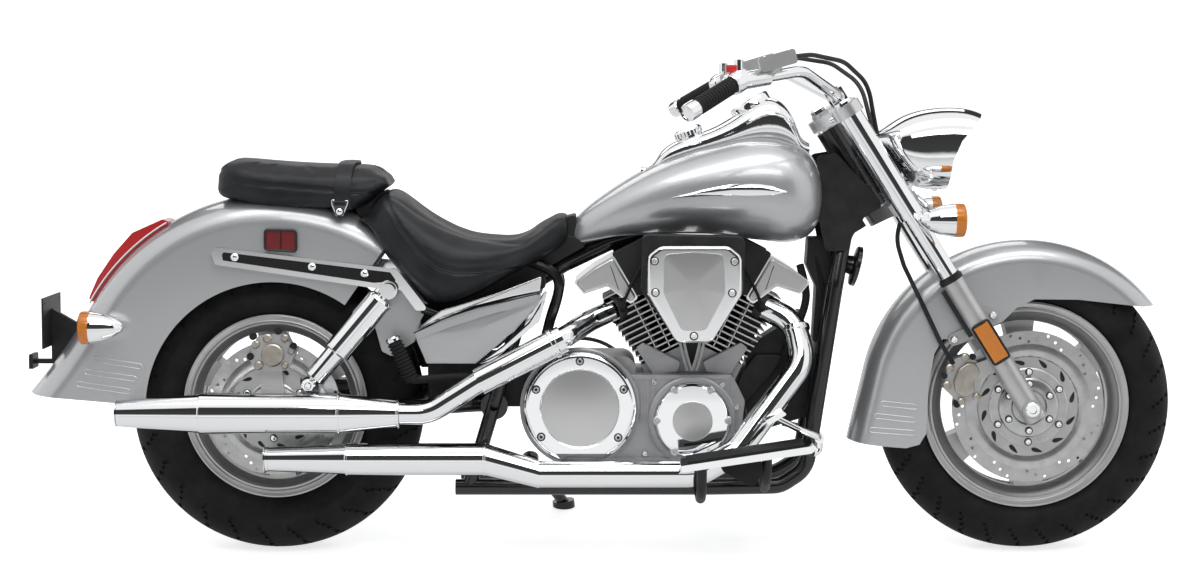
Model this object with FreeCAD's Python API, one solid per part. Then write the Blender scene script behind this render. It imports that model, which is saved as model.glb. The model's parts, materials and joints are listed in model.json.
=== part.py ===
import FreeCAD, Part
from functools import cache
import math
import os

# A shaft-drive V-twin cruiser motorcycle, parked on its side stand.
# Millimetres. Every piece is drawn on the upright machine: X forward from the
# rear axle, Y to the rider's left, Z up from the road. The finished pieces are
# then leaned to the left, as the machine parks, and set on the floor.
V = FreeCAD.Vector

# Chassis
WHEELBASE = 1669.0
REAR_AXLE_Z = 326.5
FRONT_AXLE_Z = 328.0
RAKE = 32.0
FORK_OFFSET = 47.4
LEAN = 10.0

# Tyres and wheels
REAR_TYRE_R = 326.5
REAR_TYRE_W = 170.0
REAR_TYRE_CROWN = 95.0
REAR_SIDEWALL = 135.0
REAR_BEAD_R = REAR_TYRE_R - REAR_SIDEWALL
REAR_BEAD_HALF = 60.0
FRONT_TYRE_R = 328.0
FRONT_TYRE_W = 140.0
FRONT_TYRE_CROWN = 80.0
FRONT_SIDEWALL = 111.0
FRONT_BEAD_R = FRONT_TYRE_R - FRONT_SIDEWALL
FRONT_BEAD_HALF = 46.0
TYRE_WALL = 10.0
RIM_LIP = 13.0
RIM_WALL = 8.0
WINDOWS = 6
WINDOW_SWEEP = 39.0
WINDOW_START = 4.0
WINDOW_FROM = 0.405
WEB_HALF = 11.0
HUB_R = 45.0
SEAT_GAP = 0.3
RUN_FIT = 0.1
POCKET = 2.5

# Brakes
DISC_THICK = 5.0
FRONT_DISC_R = 168.0
FRONT_DISC_Y = -84.0
REAR_DISC_R = 148.0
REAR_DISC_Y = -101.0
CARRIER_R = 130.0
CARRIER_SLOTS = 12
PAD_GAP = 5.5

# Axles
FRONT_AXLE_R = 10.0
REAR_AXLE_R = 12.0

# Fork
LEG_Y = 115.0
LOWER_R = 25.0
TUBE_R = 22.0
COVER_R = 27.5
LOWER_TOP = 338.0
COVER_FOOT = 500.0
YOKE_LOW = 516.0
YOKE_LOW_THICK = 28.0
YOKE_ROOM = 5.2
STEER_STOP = 38.0
YOKE_TOP = 758.0
YOKE_TOP_THICK = 26.0
NECK_FOOT = 548.0
NECK_HEAD = 752.0
NECK_R = 30.0
NECK_MID = 650.0
STEM_R = 15.0

# Frame
BACKBONE_R = 20.0
DOWNTUBE_R = 17.5
DOWNTUBE_Y = 85.0
RAIL_Y = 110.0
RAIL_Z = 152.0
UPRIGHT_R = 16.0
UPRIGHT_Y = 100.0
SEAT_RAIL_R = 12.0
PIVOT = V(488.0, 0.0, 332.0)
PIVOT_R = 30.0
SHAFT_Y = 160.0
SHAFT_R = 36.0
DRIVE_R = 84.0
PLATE_IN = 100.0
PLATE_OUT = 112.0
BRACE_GAP = 73.5

RADIATOR_HALF = 64.0
RADIATOR_TANK = 12.0
RADIATOR_ROWS = 14

# Engine
CRANK = V(924.0, 0.0, 303.0)
VEE_HALF = 26.0
CASE_HALF = 118.0
DECK = 153.0
FIN_FIRST = 160.0
FIN_PITCH = 13.4
FIN_COUNT = 13
FIN_THICK = 3.0
FIN_HALF_LOW = 50.0
FIN_HALF_TOP = 62.0
FIN_Y = 76.0
BARREL_R = 46.0
HEAD_Y = 86.0
HEAD_WALL = 6.0
SMALL_COVER_R = 83.0
COVER_LUGS = 6
BIG_COVER = V(677.0, 0.0, 331.0)
BIG_COVER_R = 124.0
BIG_COVER_FLAT = 232.0
COVER_DEPTH = 38.0

# Sheet metal
SHEET = 3.0
TANK_NECK_GAP = 66.4
REAR_FENDER_R = 471.0
REAR_FENDER_HALF = 117.0
REAR_ARCH_R = 280.0
FRONT_FENDER_GAP = 37.0
FRONT_FENDER_R = FRONT_TYRE_R + FRONT_FENDER_GAP
FRONT_FENDER_HALF = 82.0

# Exhaust
HEADER_R = 24.0
SHIELD_R = 30.0
FRONT_HEADER_R = 29.0
PIPE_WALL = 2.5
MUFFLER_Y = -200.0
MUFFLER_Z = 327.0
MUFFLER_R = 44.5
LOW_MUFFLER_Y = -190.0
LOW_MUFFLER_Z = 226.0
LOW_PIPE_Z = 193.0
LOW_MUFFLER_R = 35.0

# Handlebar
BAR_R = 12.7
GRIP_R = 17.0
CABLE_R = 5.0
RISER_Y = 45.0
RISER_F = 51.5
RISER_T = 801.0
MIRROR_HOLE_R = 4.4
MIRROR_HOLE_DEPTH = 18.0

BOARD_TREADS = 5

# Plate bracket
PLATE_X = -512.0
PLATE_THICK = 4.0
PLATE_HOLE_R = 3.5
PLATE_HOLE = V(-512.0, -73.0, 556.0)

# Side stand
STAND_PIVOT = V(560.0, 150.0, 175.0)
STAND_FOOT = V(640.0, 270.0, 48.0)
STAND_AXIS = V(0.0, 0.822, 0.5695)
STAND_R = 13.0
STAND_FOLD = 115.0

REAR_AXLE = V(0.0, 0.0, REAR_AXLE_Z)
FRONT_AXLE = V(WHEELBASE, 0.0, FRONT_AXLE_Z)
COS_RAKE = math.cos(math.radians(RAKE))
SIN_RAKE = math.sin(math.radians(RAKE))
STEER_FOOT = V(WHEELBASE - FORK_OFFSET * COS_RAKE, 0.0, FRONT_AXLE_Z - FORK_OFFSET * SIN_RAKE)
STEER_UP = V(-SIN_RAKE, 0.0, COS_RAKE)


# Drawing helpers
def fork(forward, y, along):
    """A point of the steering assembly: ahead of, beside and along its axis."""
    return V(STEER_FOOT.x + forward * COS_RAKE - along * SIN_RAKE, y,
             STEER_FOOT.z + forward * SIN_RAKE + along * COS_RAKE)


# Points the steering carries, and the neck they turn in
BAR_KNEE = fork(-1.4, -250, 903.1)
GRIP_INNER = fork(-135.1, -330, 957.2)
GRIP_END = GRIP_INNER + V(-100, -110, -60)
MIRROR_TOP = GRIP_INNER + V(5, 5.5, 47)
LAMP = fork(170.7, 0, 588)
SIGNAL = fork(127.3, -190, 443)
NECK = fork(0, 0, NECK_MID)


def about(center, points):
    """Side-view points given from a center."""
    return [(center.x + dx, center.z + dz) for dx, dz in points]


def tank_x(x):
    """The tank and spine reach from the seat to the neck, wherever the neck stands."""
    back, front = TANK_STATIONS[0][0], TANK_STATIONS[-1][0]
    return back + (x - back) * (NECK.x - TANK_NECK_GAP - back) / (front - back)


def on_fork(shape):
    """Lean an upright drawing of the steering assembly back to the rake."""
    placed = shape.copy()
    placed.rotate(V(0, 0, 0), V(0, 1, 0), -RAKE)
    placed.translate(STEER_FOOT)
    return placed


def flip(shape):
    """The same piece on the other side of the machine."""
    return shape.mirror(V(0, 0, 0), V(0, 1, 0))


def flip_point(point):
    return V(point.x, -point.y, point.z)


def both(shape):
    return Part.makeCompound([shape, flip(shape)])


def join(first, *rest):
    whole = first.fuse(list(rest))
    return whole.removeSplitter()


def rod(start, end, radius):
    run = end - start
    return Part.makeCylinder(radius, run.Length, start, run)


def taper(start, end, first, last):
    run = end - start
    return Part.makeCone(first, last, run.Length, start, run)


def cross(center, radius, y0, y1):
    """A round boss across the machine."""
    return Part.makeCylinder(radius, y1 - y0, V(center.x, y0, center.z), V(0, 1, 0))


def cross_x(y, z, radius, x0, x1):
    """A round along the machine."""
    return Part.makeCylinder(radius, x1 - x0, V(x0, y, z), V(1, 0, 0))


def block(x0, x1, y0, y1, z0, z1):
    return Part.makeBox(x1 - x0, y1 - y0, z1 - z0, V(x0, y0, z0))


def outline(points, radius=0.0):
    """A closed side-view outline, its corners rounded where a radius is given."""
    corners = [V(x, 0, z) for x, z in points]
    if radius <= 0:
        return Part.makePolygon(corners + corners[:1])
    edges = []
    count = len(corners)
    ends = []
    for i in range(count):
        before, here, after = corners[i - 1], corners[i], corners[(i + 1) % count]
        u = (before - here).normalize()
        w = (after - here).normalize()
        half = u.getAngle(w) / 2
        reach = min((before - here).Length, (after - here).Length) * 0.49
        bend = min(radius, reach * math.tan(half))
        cut = bend / math.tan(half)
        middle = here + (u + w).normalize() * (bend / math.sin(half) - bend)
        ends.append((here + u * cut, middle, here + w * cut))
    for i in range(count):
        enter, middle, leave = ends[i]
        follow = ends[(i + 1) % count][0]
        edges.append(Part.Arc(enter, middle, leave).toShape())
        edges.append(Part.makeLine(leave, follow))
    return Part.Wire(edges)


def slab(points, y0, y1, radius=0.0):
    """A plate cut to a side-view outline."""
    face = Part.Face(outline(points, radius))
    plate = face.extrude(V(0, y1 - y0, 0))
    plate.translate(V(0, y0, 0))
    return plate


def link(a, b, ra, rb, y0, y1):
    """A flat link between two round eyes."""
    run = b - a
    length = run.Length
    side = V(-run.z, 0, run.x).normalize()
    lean = math.asin((ra - rb) / length)
    ahead = V(run.x, 0, run.z).normalize()
    up = side * math.cos(lean) + ahead * math.sin(lean)
    down = side * -math.cos(lean) + ahead * math.sin(lean)
    quad = [a + up * ra, b + up * rb, b + down * rb, a + down * ra]
    middle = slab([(p.x, p.z) for p in quad], y0, y1)
    return join(middle, cross(a, ra, y0, y1), cross(b, rb, y0, y1))


def route(points, bend):
    """Straight runs joined by tangent arcs."""
    edges = []
    start = points[0]
    for a, b, c in zip(points, points[1:], points[2:]):
        u = (a - b).normalize()
        w = (c - b).normalize()
        half = u.getAngle(w) / 2
        reach = min((a - b).Length, (c - b).Length) * 0.48
        turn = min(bend, reach * math.tan(half))
        cut = turn / math.tan(half)
        middle = b + (u + w).normalize() * (turn / math.sin(half) - turn)
        edges.append(Part.makeLine(start, b + u * cut))
        edges.append(Part.Arc(b + u * cut, middle, b + w * cut).toShape())
        start = b + w * cut
    edges.append(Part.makeLine(start, points[-1]))
    return Part.Wire(edges)


def bent(points, radius, bend):
    """A bent round bar."""
    path = route(points, bend)
    ring = Part.Wire([Part.makeCircle(radius, points[0], points[1] - points[0])])
    return path.makePipeShell([ring], True, False)


def turned(profile, center, axis):
    """A solid of revolution from (along, radius) points about an axis."""
    along = V(axis).normalize()
    side = V(0, 1, 0) if abs(along.y) < 0.5 else V(0, 0, 1)
    side = (side - along * side.dot(along)).normalize()
    points = [center + along * s + side * r for s, r in profile]
    face = Part.Face(Part.makePolygon(points + points[:1]))
    return face.revolve(center, along, 360)


def oval(x, low, high, half, power=2.4, count=20):
    """A cross-section of a body, a rounded outline in the plane X = x."""
    middle = (low + high) / 2
    rise = (high - low) / 2
    points = []
    for i in range(count):
        turn = 2 * math.pi * i / count
        c = math.cos(turn)
        s = math.sin(turn)
        points.append(V(x, half * math.copysign(abs(c) ** (2 / power), c),
                        middle + rise * math.copysign(abs(s) ** (2 / power), s)))
    curve = Part.BSplineCurve()
    curve.interpolate(points, PeriodicFlag=True)
    return Part.Wire([curve.toShape()])


def lofted(stations, power=2.4):
    return Part.makeLoft([oval(*s, power=power) for s in stations], True, False)


def arch_section(center, angle, radius, half, crown, corner, depth, inset):
    """Outer or inner line of a fender's cross-section, standing on a wheel ray."""
    out = V(math.cos(angle), 0, math.sin(angle))
    side = V(0, 1, 0)
    drop = crown - math.sqrt((crown - corner) ** 2 - (half - corner) ** 2)
    spread = math.asin((half - corner) / (crown - corner))

    def at(y, d):
        return center + out * (radius - d) + side * y

    big = crown - inset
    small = corner - inset
    top = []
    for turn in (-spread, 0.0, spread):
        top.append(at(big * math.sin(turn), crown - big * math.cos(turn)))
    knees = []
    for sign in (-1, 1):
        middle = math.radians(90) / 2 + spread / 2
        knees.append((at(sign * (half - corner + small * math.sin(middle)), drop - small * math.cos(middle)),
                      at(sign * (half - inset), drop)))
    return {"top": top, "knees": knees,
            "feet": [at(-(half - inset), depth), at(half - inset, depth)]}


def fender_edges(line):
    left_knee, left_side = line["knees"][0]
    right_knee, right_side = line["knees"][1]
    return [Part.makeLine(line["feet"][0], left_side),
            Part.Arc(left_side, left_knee, line["top"][0]).toShape(),
            Part.Arc(*line["top"]).toShape(),
            Part.Arc(line["top"][2], right_knee, right_side).toShape(),
            Part.makeLine(right_side, line["feet"][1])]


def fender_path(center, radius, start, turn, flare_r, flare):
    """The crown line: round the wheel from start to turn, then flared out."""
    def at(angle):
        return center + V(math.cos(angle), 0, math.sin(angle)) * radius

    arc = Part.Arc(at(start), at((start + turn) / 2), at(turn)).toShape()
    if flare_r <= 0:
        down = V(-math.sin(turn), 0, math.cos(turn))
        return Part.Wire([arc, Part.makeLine(at(turn), at(turn) + down * flare)])
    hub = center + V(math.cos(turn), 0, math.sin(turn)) * (radius + flare_r)

    def back(swing):
        angle = turn + math.pi - swing
        return hub + V(math.cos(angle), 0, math.sin(angle)) * flare_r

    swing = flare / flare_r
    tail = Part.Arc(back(0), back(swing / 2), back(swing)).toShape()
    return Part.Wire([arc, tail])


def fender(center, radius, half, crown, corner, depth, start, turn, flare_r, flare, grow=0.0, solid=False):
    first = math.radians(start)
    path = fender_path(center, radius, first, math.radians(turn), flare_r, flare)
    outer = arch_section(center, first, radius, half, crown, corner, depth, -grow)
    edges = fender_edges(outer)
    if solid:
        edges.append(Part.makeLine(outer["feet"][1], outer["feet"][0]))
    else:
        inner = arch_section(center, first, radius, half, crown, corner, depth, SHEET)
        edges.append(Part.makeLine(outer["feet"][1], inner["feet"][1]))
        edges += fender_edges(inner)[::-1]
        edges.append(Part.makeLine(inner["feet"][0], outer["feet"][0]))
    wire = Part.Wire(Part.__sortEdges__(edges))
    return path.makePipeShell([wire], True, False)


# Wheels
def tyre(center, outer, width, crown, bead, bead_half):
    shoulder_y = width * 0.42
    shoulder = outer - (crown - math.sqrt(crown ** 2 - shoulder_y ** 2))
    belly = bead + (shoulder - bead) * 0.58
    lip = bead + RIM_LIP + 1

    def at(y, r):
        return center + V(0, y, 0) + V(0, 0, r)

    def half_line(inset):
        return [at(bead_half - inset, bead), at(bead_half - inset, lip), at(width / 2 - inset, belly),
                at(shoulder_y - inset * 0.6, shoulder - inset), at(0, outer - inset)]

    def mirrored(p):
        return V(p.x, -p.y, p.z)

    skin = half_line(0)
    core = half_line(TYRE_WALL)
    edges = []
    for line in (skin, core):
        foot, lip_point, belly_point, shoulder_point, top = line
        edges += [Part.makeLine(foot, lip_point),
                  Part.Arc(lip_point, belly_point, shoulder_point).toShape(),
                  Part.Arc(shoulder_point, top, mirrored(shoulder_point)).toShape(),
                  Part.Arc(mirrored(shoulder_point), mirrored(belly_point), mirrored(lip_point)).toShape(),
                  Part.makeLine(mirrored(lip_point), mirrored(foot))]
    edges += [Part.makeLine(skin[0], core[0]), Part.makeLine(mirrored(skin[0]), mirrored(core[0]))]
    face = Part.Face(Part.Wire(Part.__sortEdges__(edges)))
    return face.revolve(center, V(0, 1, 0), 360)


def ring(center, inner, outer, y0, y1):
    return cross(center, outer, y0, y1).cut(cross(center, inner, y0 - 1, y1 + 1))


def sector(center, inner, outer, middle, sweep, y0, y1):
    """A curved slot between two radii."""
    a = math.radians(middle - sweep / 2)
    b = math.radians(middle + sweep / 2)

    def at(r, t):
        return center + V(math.cos(t) * r, y0, math.sin(t) * r)

    m = (a + b) / 2
    wire = Part.Wire([Part.Arc(at(outer, a), at(outer, m), at(outer, b)).toShape(),
                      Part.makeLine(at(outer, b), at(inner, b)),
                      Part.Arc(at(inner, b), at(inner, m), at(inner, a)).toShape(),
                      Part.makeLine(at(inner, a), at(outer, a))])
    return Part.Face(wire).extrude(V(0, y1 - y0, 0))


def rim(center, bead, bead_half, axle_r, hub_right, hub_left):
    seat = bead - SEAT_GAP
    lip = bead + RIM_LIP
    inner = seat - RIM_WALL
    edge = bead_half + RIM_WALL
    barrel = turned([(-edge, inner), (edge, inner), (edge, lip), (bead_half + SEAT_GAP, lip),
                     (bead_half + SEAT_GAP, seat), (-bead_half - SEAT_GAP, seat),
                     (-bead_half - SEAT_GAP, lip), (-edge, lip)], center, V(0, 1, 0))
    web = ring(center, HUB_R - 2, inner + 2, -WEB_HALF, WEB_HALF)
    window_in = HUB_R + (inner - HUB_R) * WINDOW_FROM
    windows = []
    for i in range(WINDOWS):
        middle = WINDOW_START + i * 360.0 / WINDOWS
        hole = sector(center, window_in, inner - 5, middle, WINDOW_SWEEP, -WEB_HALF - 1, WEB_HALF + 1)
        upright = [e for e in hole.Edges if abs(e.tangentAt(e.FirstParameter).y) > 0.99]
        windows.append(hole.makeFillet(10.0, upright))
    web = web.cut(windows)
    hub = cross(center, HUB_R, hub_right, hub_left)
    whole = join(barrel, web, hub)
    return whole.cut(cross(center, axle_r + RUN_FIT, hub_right - 1, hub_left + 1))


def brake_disc(center, outer, y0, bore):
    """A drilled-look rotor: the rubbing ring on a carrier with curved slots."""
    plate = ring(center, bore, outer, y0, y0 + DISC_THICK)
    slots = []
    for i in range(CARRIER_SLOTS):
        middle = 360.0 * (i + 0.5) / CARRIER_SLOTS
        slots.append(sector(center, outer * 0.62, outer * 0.72, middle, 10.0, y0 - 1, y0 + DISC_THICK + 1))
    return plate.cut(slots)


def front_wheel():
    axle = FRONT_AXLE
    face = FRONT_DISC_Y + DISC_THICK
    parts = {}
    parts["front_tyre"] = tyre(axle, FRONT_TYRE_R, FRONT_TYRE_W, FRONT_TYRE_CROWN, FRONT_BEAD_R, FRONT_BEAD_HALF)
    parts["front_rim"] = rim(axle, FRONT_BEAD_R, FRONT_BEAD_HALF, FRONT_AXLE_R, face, -face)
    parts["front_disc"] = brake_disc(axle, FRONT_DISC_R, FRONT_DISC_Y, HUB_R - 15)
    return parts


def rear_wheel():
    axle = REAR_AXLE
    face = REAR_DISC_Y + DISC_THICK
    parts = {}
    parts["rear_tyre"] = tyre(axle, REAR_TYRE_R, REAR_TYRE_W, REAR_TYRE_CROWN, REAR_BEAD_R, REAR_BEAD_HALF)
    parts["rear_rim"] = rim(axle, REAR_BEAD_R, REAR_BEAD_HALF, REAR_AXLE_R, face, -face)
    parts["rear_disc"] = brake_disc(axle, REAR_DISC_R, REAR_DISC_Y, HUB_R - 15)
    return parts


# Frame
def downtube_points():
    return [NECK + V(33.6, 15, -64.1), NECK + V(-22.4, 54, -149.1), V(1241, DOWNTUBE_Y, 600),
            V(1178, DOWNTUBE_Y, 188), V(1120, 95, RAIL_Z), V(960, RAIL_Y, RAIL_Z), V(402, RAIL_Y, RAIL_Z)]


def frame_cradle():
    side = bent(downtube_points(), DOWNTUBE_R, 60.0)
    side = side.cut(on_fork(Part.makeCylinder(NECK_R, 400, V(0, 0, 450)))).cut(yoke_sweep())
    tube = join(side, flip(side))
    for x in (520, 1040):
        tube = join(tube, rod(V(x, -RAIL_Y, RAIL_Z), V(x, RAIL_Y, RAIL_Z), 12.0))
    axis = V(STAND_AXIS).normalize()
    boss = rod(STAND_PIVOT - axis * 30, STAND_PIVOT - axis * 8, 17.0)
    pin = rod(STAND_PIVOT - axis * 30, STAND_PIVOT + axis * 9, 6.0)
    head = rod(STAND_PIVOT + axis * 8, STAND_PIVOT + axis * 13, 10.0)
    return join(tube, boss, pin, head, horn())


@cache
def upright_bar(grow=0.0):
    return bent([V(560, UPRIGHT_Y, 585), V(530, UPRIGHT_Y, 480), V(492, PLATE_IN + 6, 352), V(434, RAIL_Y, 160)],
                UPRIGHT_R + grow, 90.0)


@cache
def seat_rail(grow=0.0):
    return bent([V(535, UPRIGHT_Y, 500), V(430, UPRIGHT_Y + 4, 512), V(330, UPRIGHT_Y, 548)], SEAT_RAIL_R + grow, 90.0)


@cache
def spine_bar(grow=0.0):
    return bent([NECK + V(15.6, 0, -32.1), V(tank_x(1100), 0, 780), V(tank_x(745), 0, 690), V(640, 0, 640),
                 V(556, 0, 590)],
                BACKBONE_R + grow, 120.0)


def frame_upper():
    """The neck, spine, uprights, pivot plates and seat rails, one weldment."""
    lower = bent(downtube_points(), DOWNTUBE_R + SEAT_GAP, 60.0)
    plate = cross(PIVOT, PIVOT_R, PLATE_IN, PLATE_OUT)
    side = join(upright_bar(), plate, seat_rail()).cut(lower)
    side = max(side.Solids, key=lambda s: s.Volume)
    bore = cross(PIVOT, 10.0, -200, 200)
    pair = join(side, flip(side), rod(V(430, -UPRIGHT_Y, 512), V(430, UPRIGHT_Y, 512), 10.0)).cut(bore)
    neck = on_fork(Part.makeCylinder(NECK_R, NECK_HEAD - NECK_FOOT, V(0, 0, NECK_FOOT)))
    bridge = rod(V(559, -UPRIGHT_Y, 589), V(559, UPRIGHT_Y, 589), UPRIGHT_R - 2)
    stem_bore = on_fork(Part.makeCylinder(STEM_R + RUN_FIT, 400, V(0, 0, 450)))
    return join(neck, spine_bar(), bridge, pair).cut(stem_bore)


def yoke_sweep():
    """The room the lower yoke takes as it turns from stop to stop."""
    low = YOKE_LOW - YOKE_ROOM
    high = YOKE_LOW_THICK + 2 * YOKE_ROOM
    reach = math.hypot(FORK_OFFSET, LEG_Y)
    room = Part.makeCylinder(reach + 40, high, V(0, 0, low))
    room = room.common(Part.makeBox(400, 600, 600, V(-38, -300, 300)))
    stop = math.atan2(LEG_Y, FORK_OFFSET) + math.radians(STEER_STOP)
    for sign in (-1, 1):
        eye = V(reach * math.cos(stop), sign * reach * math.sin(stop), low)
        room = room.fuse(Part.makeCylinder(40, high, eye))
    return on_fork(room)


def neck_cover():
    edge = [(-86.4, 27.9), (-44.4, 34.9), (51.6, -68.1), (59.6, -104.1), (-7.4, -144.1), (-13.4, -181.1),
            (-66.4, -181.1),
            (-84.4, -94.1)]
    panel = slab(about(NECK, edge), 82.0, 87.0, 12.0)
    for along, reach in ((600, 0), (700, 0)):
        spot = fork(reach, 0, along)
        panel = join(panel, cross(spot, 8.0, 0, 84.0))
    panel = panel.cut(on_fork(Part.makeCylinder(NECK_R + SEAT_GAP, 400, V(0, 0, 450)))).cut(tank_form(3.0))
    panel = panel.cut(yoke_sweep())
    panel = max(panel.Solids, key=lambda s: s.Volume)
    return both(panel)


def radiator():
    """A cross-flow core between two tanks, its face cut into rows of tubes."""
    core = slab([(1252, 600), (1222, 600), (1178, 300), (1208, 300)], -RADIATOR_HALF, RADIATOR_HALF, 6.0)
    reach = RADIATOR_HALF - RADIATOR_TANK
    rows = []
    for i in range(RADIATOR_ROWS):
        share = (i + 0.5) / RADIATOR_ROWS
        x = 1208 + 44 * share
        z = 300 + 300 * share
        rows.append(block(x - POCKET, x + 20, -reach, reach, z - 4, z + 4))
    core = core.cut(rows)
    ears = [slab([(1245, 590), (1230, 590), (1222, 540), (1237, 540)], 60.0, DOWNTUBE_Y - DOWNTUBE_R - SEAT_GAP),
            slab([(1207, 350), (1195, 350), (1190, 312), (1202, 312)], 60.0, DOWNTUBE_Y - DOWNTUBE_R - SEAT_GAP)]
    whole = join(core, *ears, *[flip(e) for e in ears])
    return whole


def horn():
    """The horn on its strap, bolted to the right down tube."""
    above, below = [flip_point(p) for p in downtube_points()[1:3]]
    seat = above + (below - above) * 0.62
    center = seat + V(41, 43, -4)
    aim = V(0.97, 0, -0.24)
    body = turned([(-30, 0), (-30, 18), (-8, 22), (-6, 42), (-2, 45), (6, 45), (8, 38), (8, 0)], center, aim)
    strap = rod(center - aim * 20, seat, 5.0)
    return join(body, strap)


# Engine
def engine_case():
    body = slab([(590, 262), (640, 208), (982, 205), (1030, 262), (1040, 345), (1012, 402), (600, 402)],
                -CASE_HALF, CASE_HALF, 22.0)
    gearbox = slab([(590, 262), (640, 208), (800, 208), (800, 440), (620, 440)], -90.0, 90.0, 30.0)
    whole = join(body, gearbox)
    for sign in (-1, 1):
        deck = Part.makeBox(2 * FIN_HALF_LOW, 2 * FIN_Y - 10, DECK - 40, V(-FIN_HALF_LOW, -FIN_Y + 5, 40))
        deck.rotate(V(0, 0, 0), V(0, 1, 0), sign * VEE_HALF)
        deck.translate(CRANK)
        whole = join(whole, deck)
    return whole


@cache
def barrel(sign):
    core = Part.makeCylinder(BARREL_R, FIN_PITCH * (FIN_COUNT - 1) + FIN_FIRST - DECK + FIN_THICK, V(0, 0, DECK))
    last = FIN_COUNT - 1
    for i in range(FIN_COUNT):
        half = FIN_HALF_LOW + (FIN_HALF_TOP - FIN_HALF_LOW) * min(1.0, i / 6.0)
        z = FIN_FIRST + i * FIN_PITCH
        core = core.fuse(Part.makeBox(2 * half, 2 * FIN_Y, FIN_THICK, V(-half, -FIN_Y, z)))
    rib = Part.makeBox(6, 2 * FIN_Y - 4, last * FIN_PITCH, V(-3, -FIN_Y + 2, FIN_FIRST))
    core = core.fuse(rib).removeSplitter()
    core.rotate(V(0, 0, 0), V(0, 1, 0), sign * VEE_HALF)
    core.translate(CRANK)
    return core


def rocker_points(sign):
    points = [(663, 604), (685, 577), (737, 594), (789, 556), (805, 569), (751, 663), (708, 638)]
    if sign < 0:
        return points
    return [(2 * CRANK.x - x, z) for x, z in points]


def head(sign, grow=0.0):
    """The head under each rocker cover."""
    side = HEAD_Y - HEAD_WALL + grow
    shape = slab([(676, 603), (686, 584), (737, 600), (788, 564), (797, 573), (748, 652), (710, 630)], -side, side)
    return shape if sign < 0 else shape.mirror(CRANK, V(1, 0, 0))


@cache
def engine_heads():
    """The finned barrels and heads, one to each bank."""
    return [join(barrel(sign), head(sign)) for sign in (-1, 1)]


@cache
def rocker_covers():
    pair = []
    for sign in (-1, 1):
        shell = slab(rocker_points(sign), -HEAD_Y, HEAD_Y, 5.0).cut([head(sign, SEAT_GAP), barrel(sign)])
        pair.append(max(shell.Solids, key=lambda s: s.Volume))
    return pair


def air_cleaner():
    shape = [(822, 590), (826, 694), (1023, 694), (1027, 590), (968, 483), (881, 483)]
    dish = [(846, 598), (849, 672), (1001, 672), (1003, 598), (953, 505), (896, 505)]
    cover = slab(shape, -236.0, -196.0, 30.0).cut(slab(dish, -237.0, -236.0 + POCKET, 16.0))
    back = slab([(835, 592), (838, 684), (1011, 684), (1014, 592), (960, 496), (889, 496)], -196.0, -150.0, 26.0)
    duct = slab([(880, 560), (880, 680), (969, 680), (969, 560)], -150.0, -60.0, 12.0)
    return join(cover, back, duct)


def engine_covers():
    """The round side covers, bolted to the flat faces of the case."""
    small = turned([(0, 0), (0, SMALL_COVER_R), (18, SMALL_COVER_R), (26, SMALL_COVER_R - 8),
                    (26, 44), (29, 42), (29, 0)], V(CRANK.x, -CASE_HALF, CRANK.z), V(0, -1, 0))
    big = turned([(0, 0), (0, BIG_COVER_R), (22, BIG_COVER_R), (32, BIG_COVER_R - 10), (32, 84), (28, 78), (28, 0)],
                 V(BIG_COVER.x, -CASE_HALF, BIG_COVER.z), V(0, -1, 0))
    keep = block(BIG_COVER.x - 200, BIG_COVER.x + 200, -CASE_HALF - 60, -CASE_HALF + 1, BIG_COVER_FLAT, 600)
    big = big.common(keep)
    for i in range(COVER_LUGS):
        turn = math.radians(360.0 * i / COVER_LUGS)
        reach = SMALL_COVER_R - 6
        spot = V(CRANK.x + reach * math.cos(turn), 0, CRANK.z + reach * math.sin(turn))
        small = small.fuse(cross(spot, 11.0, -CASE_HALF - 25, -CASE_HALF))
    small = small.removeSplitter()
    left = turned([(0, 0), (0, 96), (30, 96), (40, 86), (40, 52), (37, 48), (37, 0)],
                  V(CRANK.x, CASE_HALF, CRANK.z), V(0, 1, 0))
    return Part.makeCompound([small, big, left])


# Exhaust
def hollow_pipe(points, radius, bend):
    return bent(points, radius, bend).cut(bent(points, radius - PIPE_WALL, bend))


def muffler(stations, y, z):
    """A thin can from its open tip forward, turned about a level axis."""
    inner = [(x, r - PIPE_WALL) for x, r in stations[::-1]]
    return turned(stations + inner, V(0, y, z), V(1, 0, 0))


def funnel(x0, z0, r0, x1, z1, r1, y):
    """A thin cone between two level circles at different heights."""
    def skin(inset):
        rings = [Part.Wire([Part.makeCircle(r - inset, V(x, y, z), V(1, 0, 0))])
                 for x, z, r in ((x0, z0, r0), (x1, z1, r1))]
        return Part.makeLoft(rings, True, False)
    return skin(0).cut(skin(PIPE_WALL))


def exhaust_rear():
    path = [V(762, -50, 545), V(700, -88, 520), V(634, -172, 484), V(457, -190, 394), V(350, MUFFLER_Y, MUFFLER_Z),
            V(276, MUFFLER_Y, MUFFLER_Z)]
    pipe = hollow_pipe(path, HEADER_R, 90.0)
    sleeve = (V(640, -171, 487), V(457, -190, 394))
    shield = rod(*sleeve, SHIELD_R).cut(rod(*sleeve, HEADER_R - 1))
    can = muffler([(-325, 28), (-146, 42), (-144, MUFFLER_R), (155, MUFFLER_R - 1), (283, 30)], MUFFLER_Y, MUFFLER_Z)
    collar = cross_x(MUFFLER_Y, MUFFLER_Z, 30.0, 277, 284).cut(cross_x(MUFFLER_Y, MUFFLER_Z, HEADER_R - 1, 276, 285))
    whole = join(pipe, shield, can, collar).cut(engine_heads() + rocker_covers())
    return max(whole.Solids, key=lambda s: s.Volume)


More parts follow.
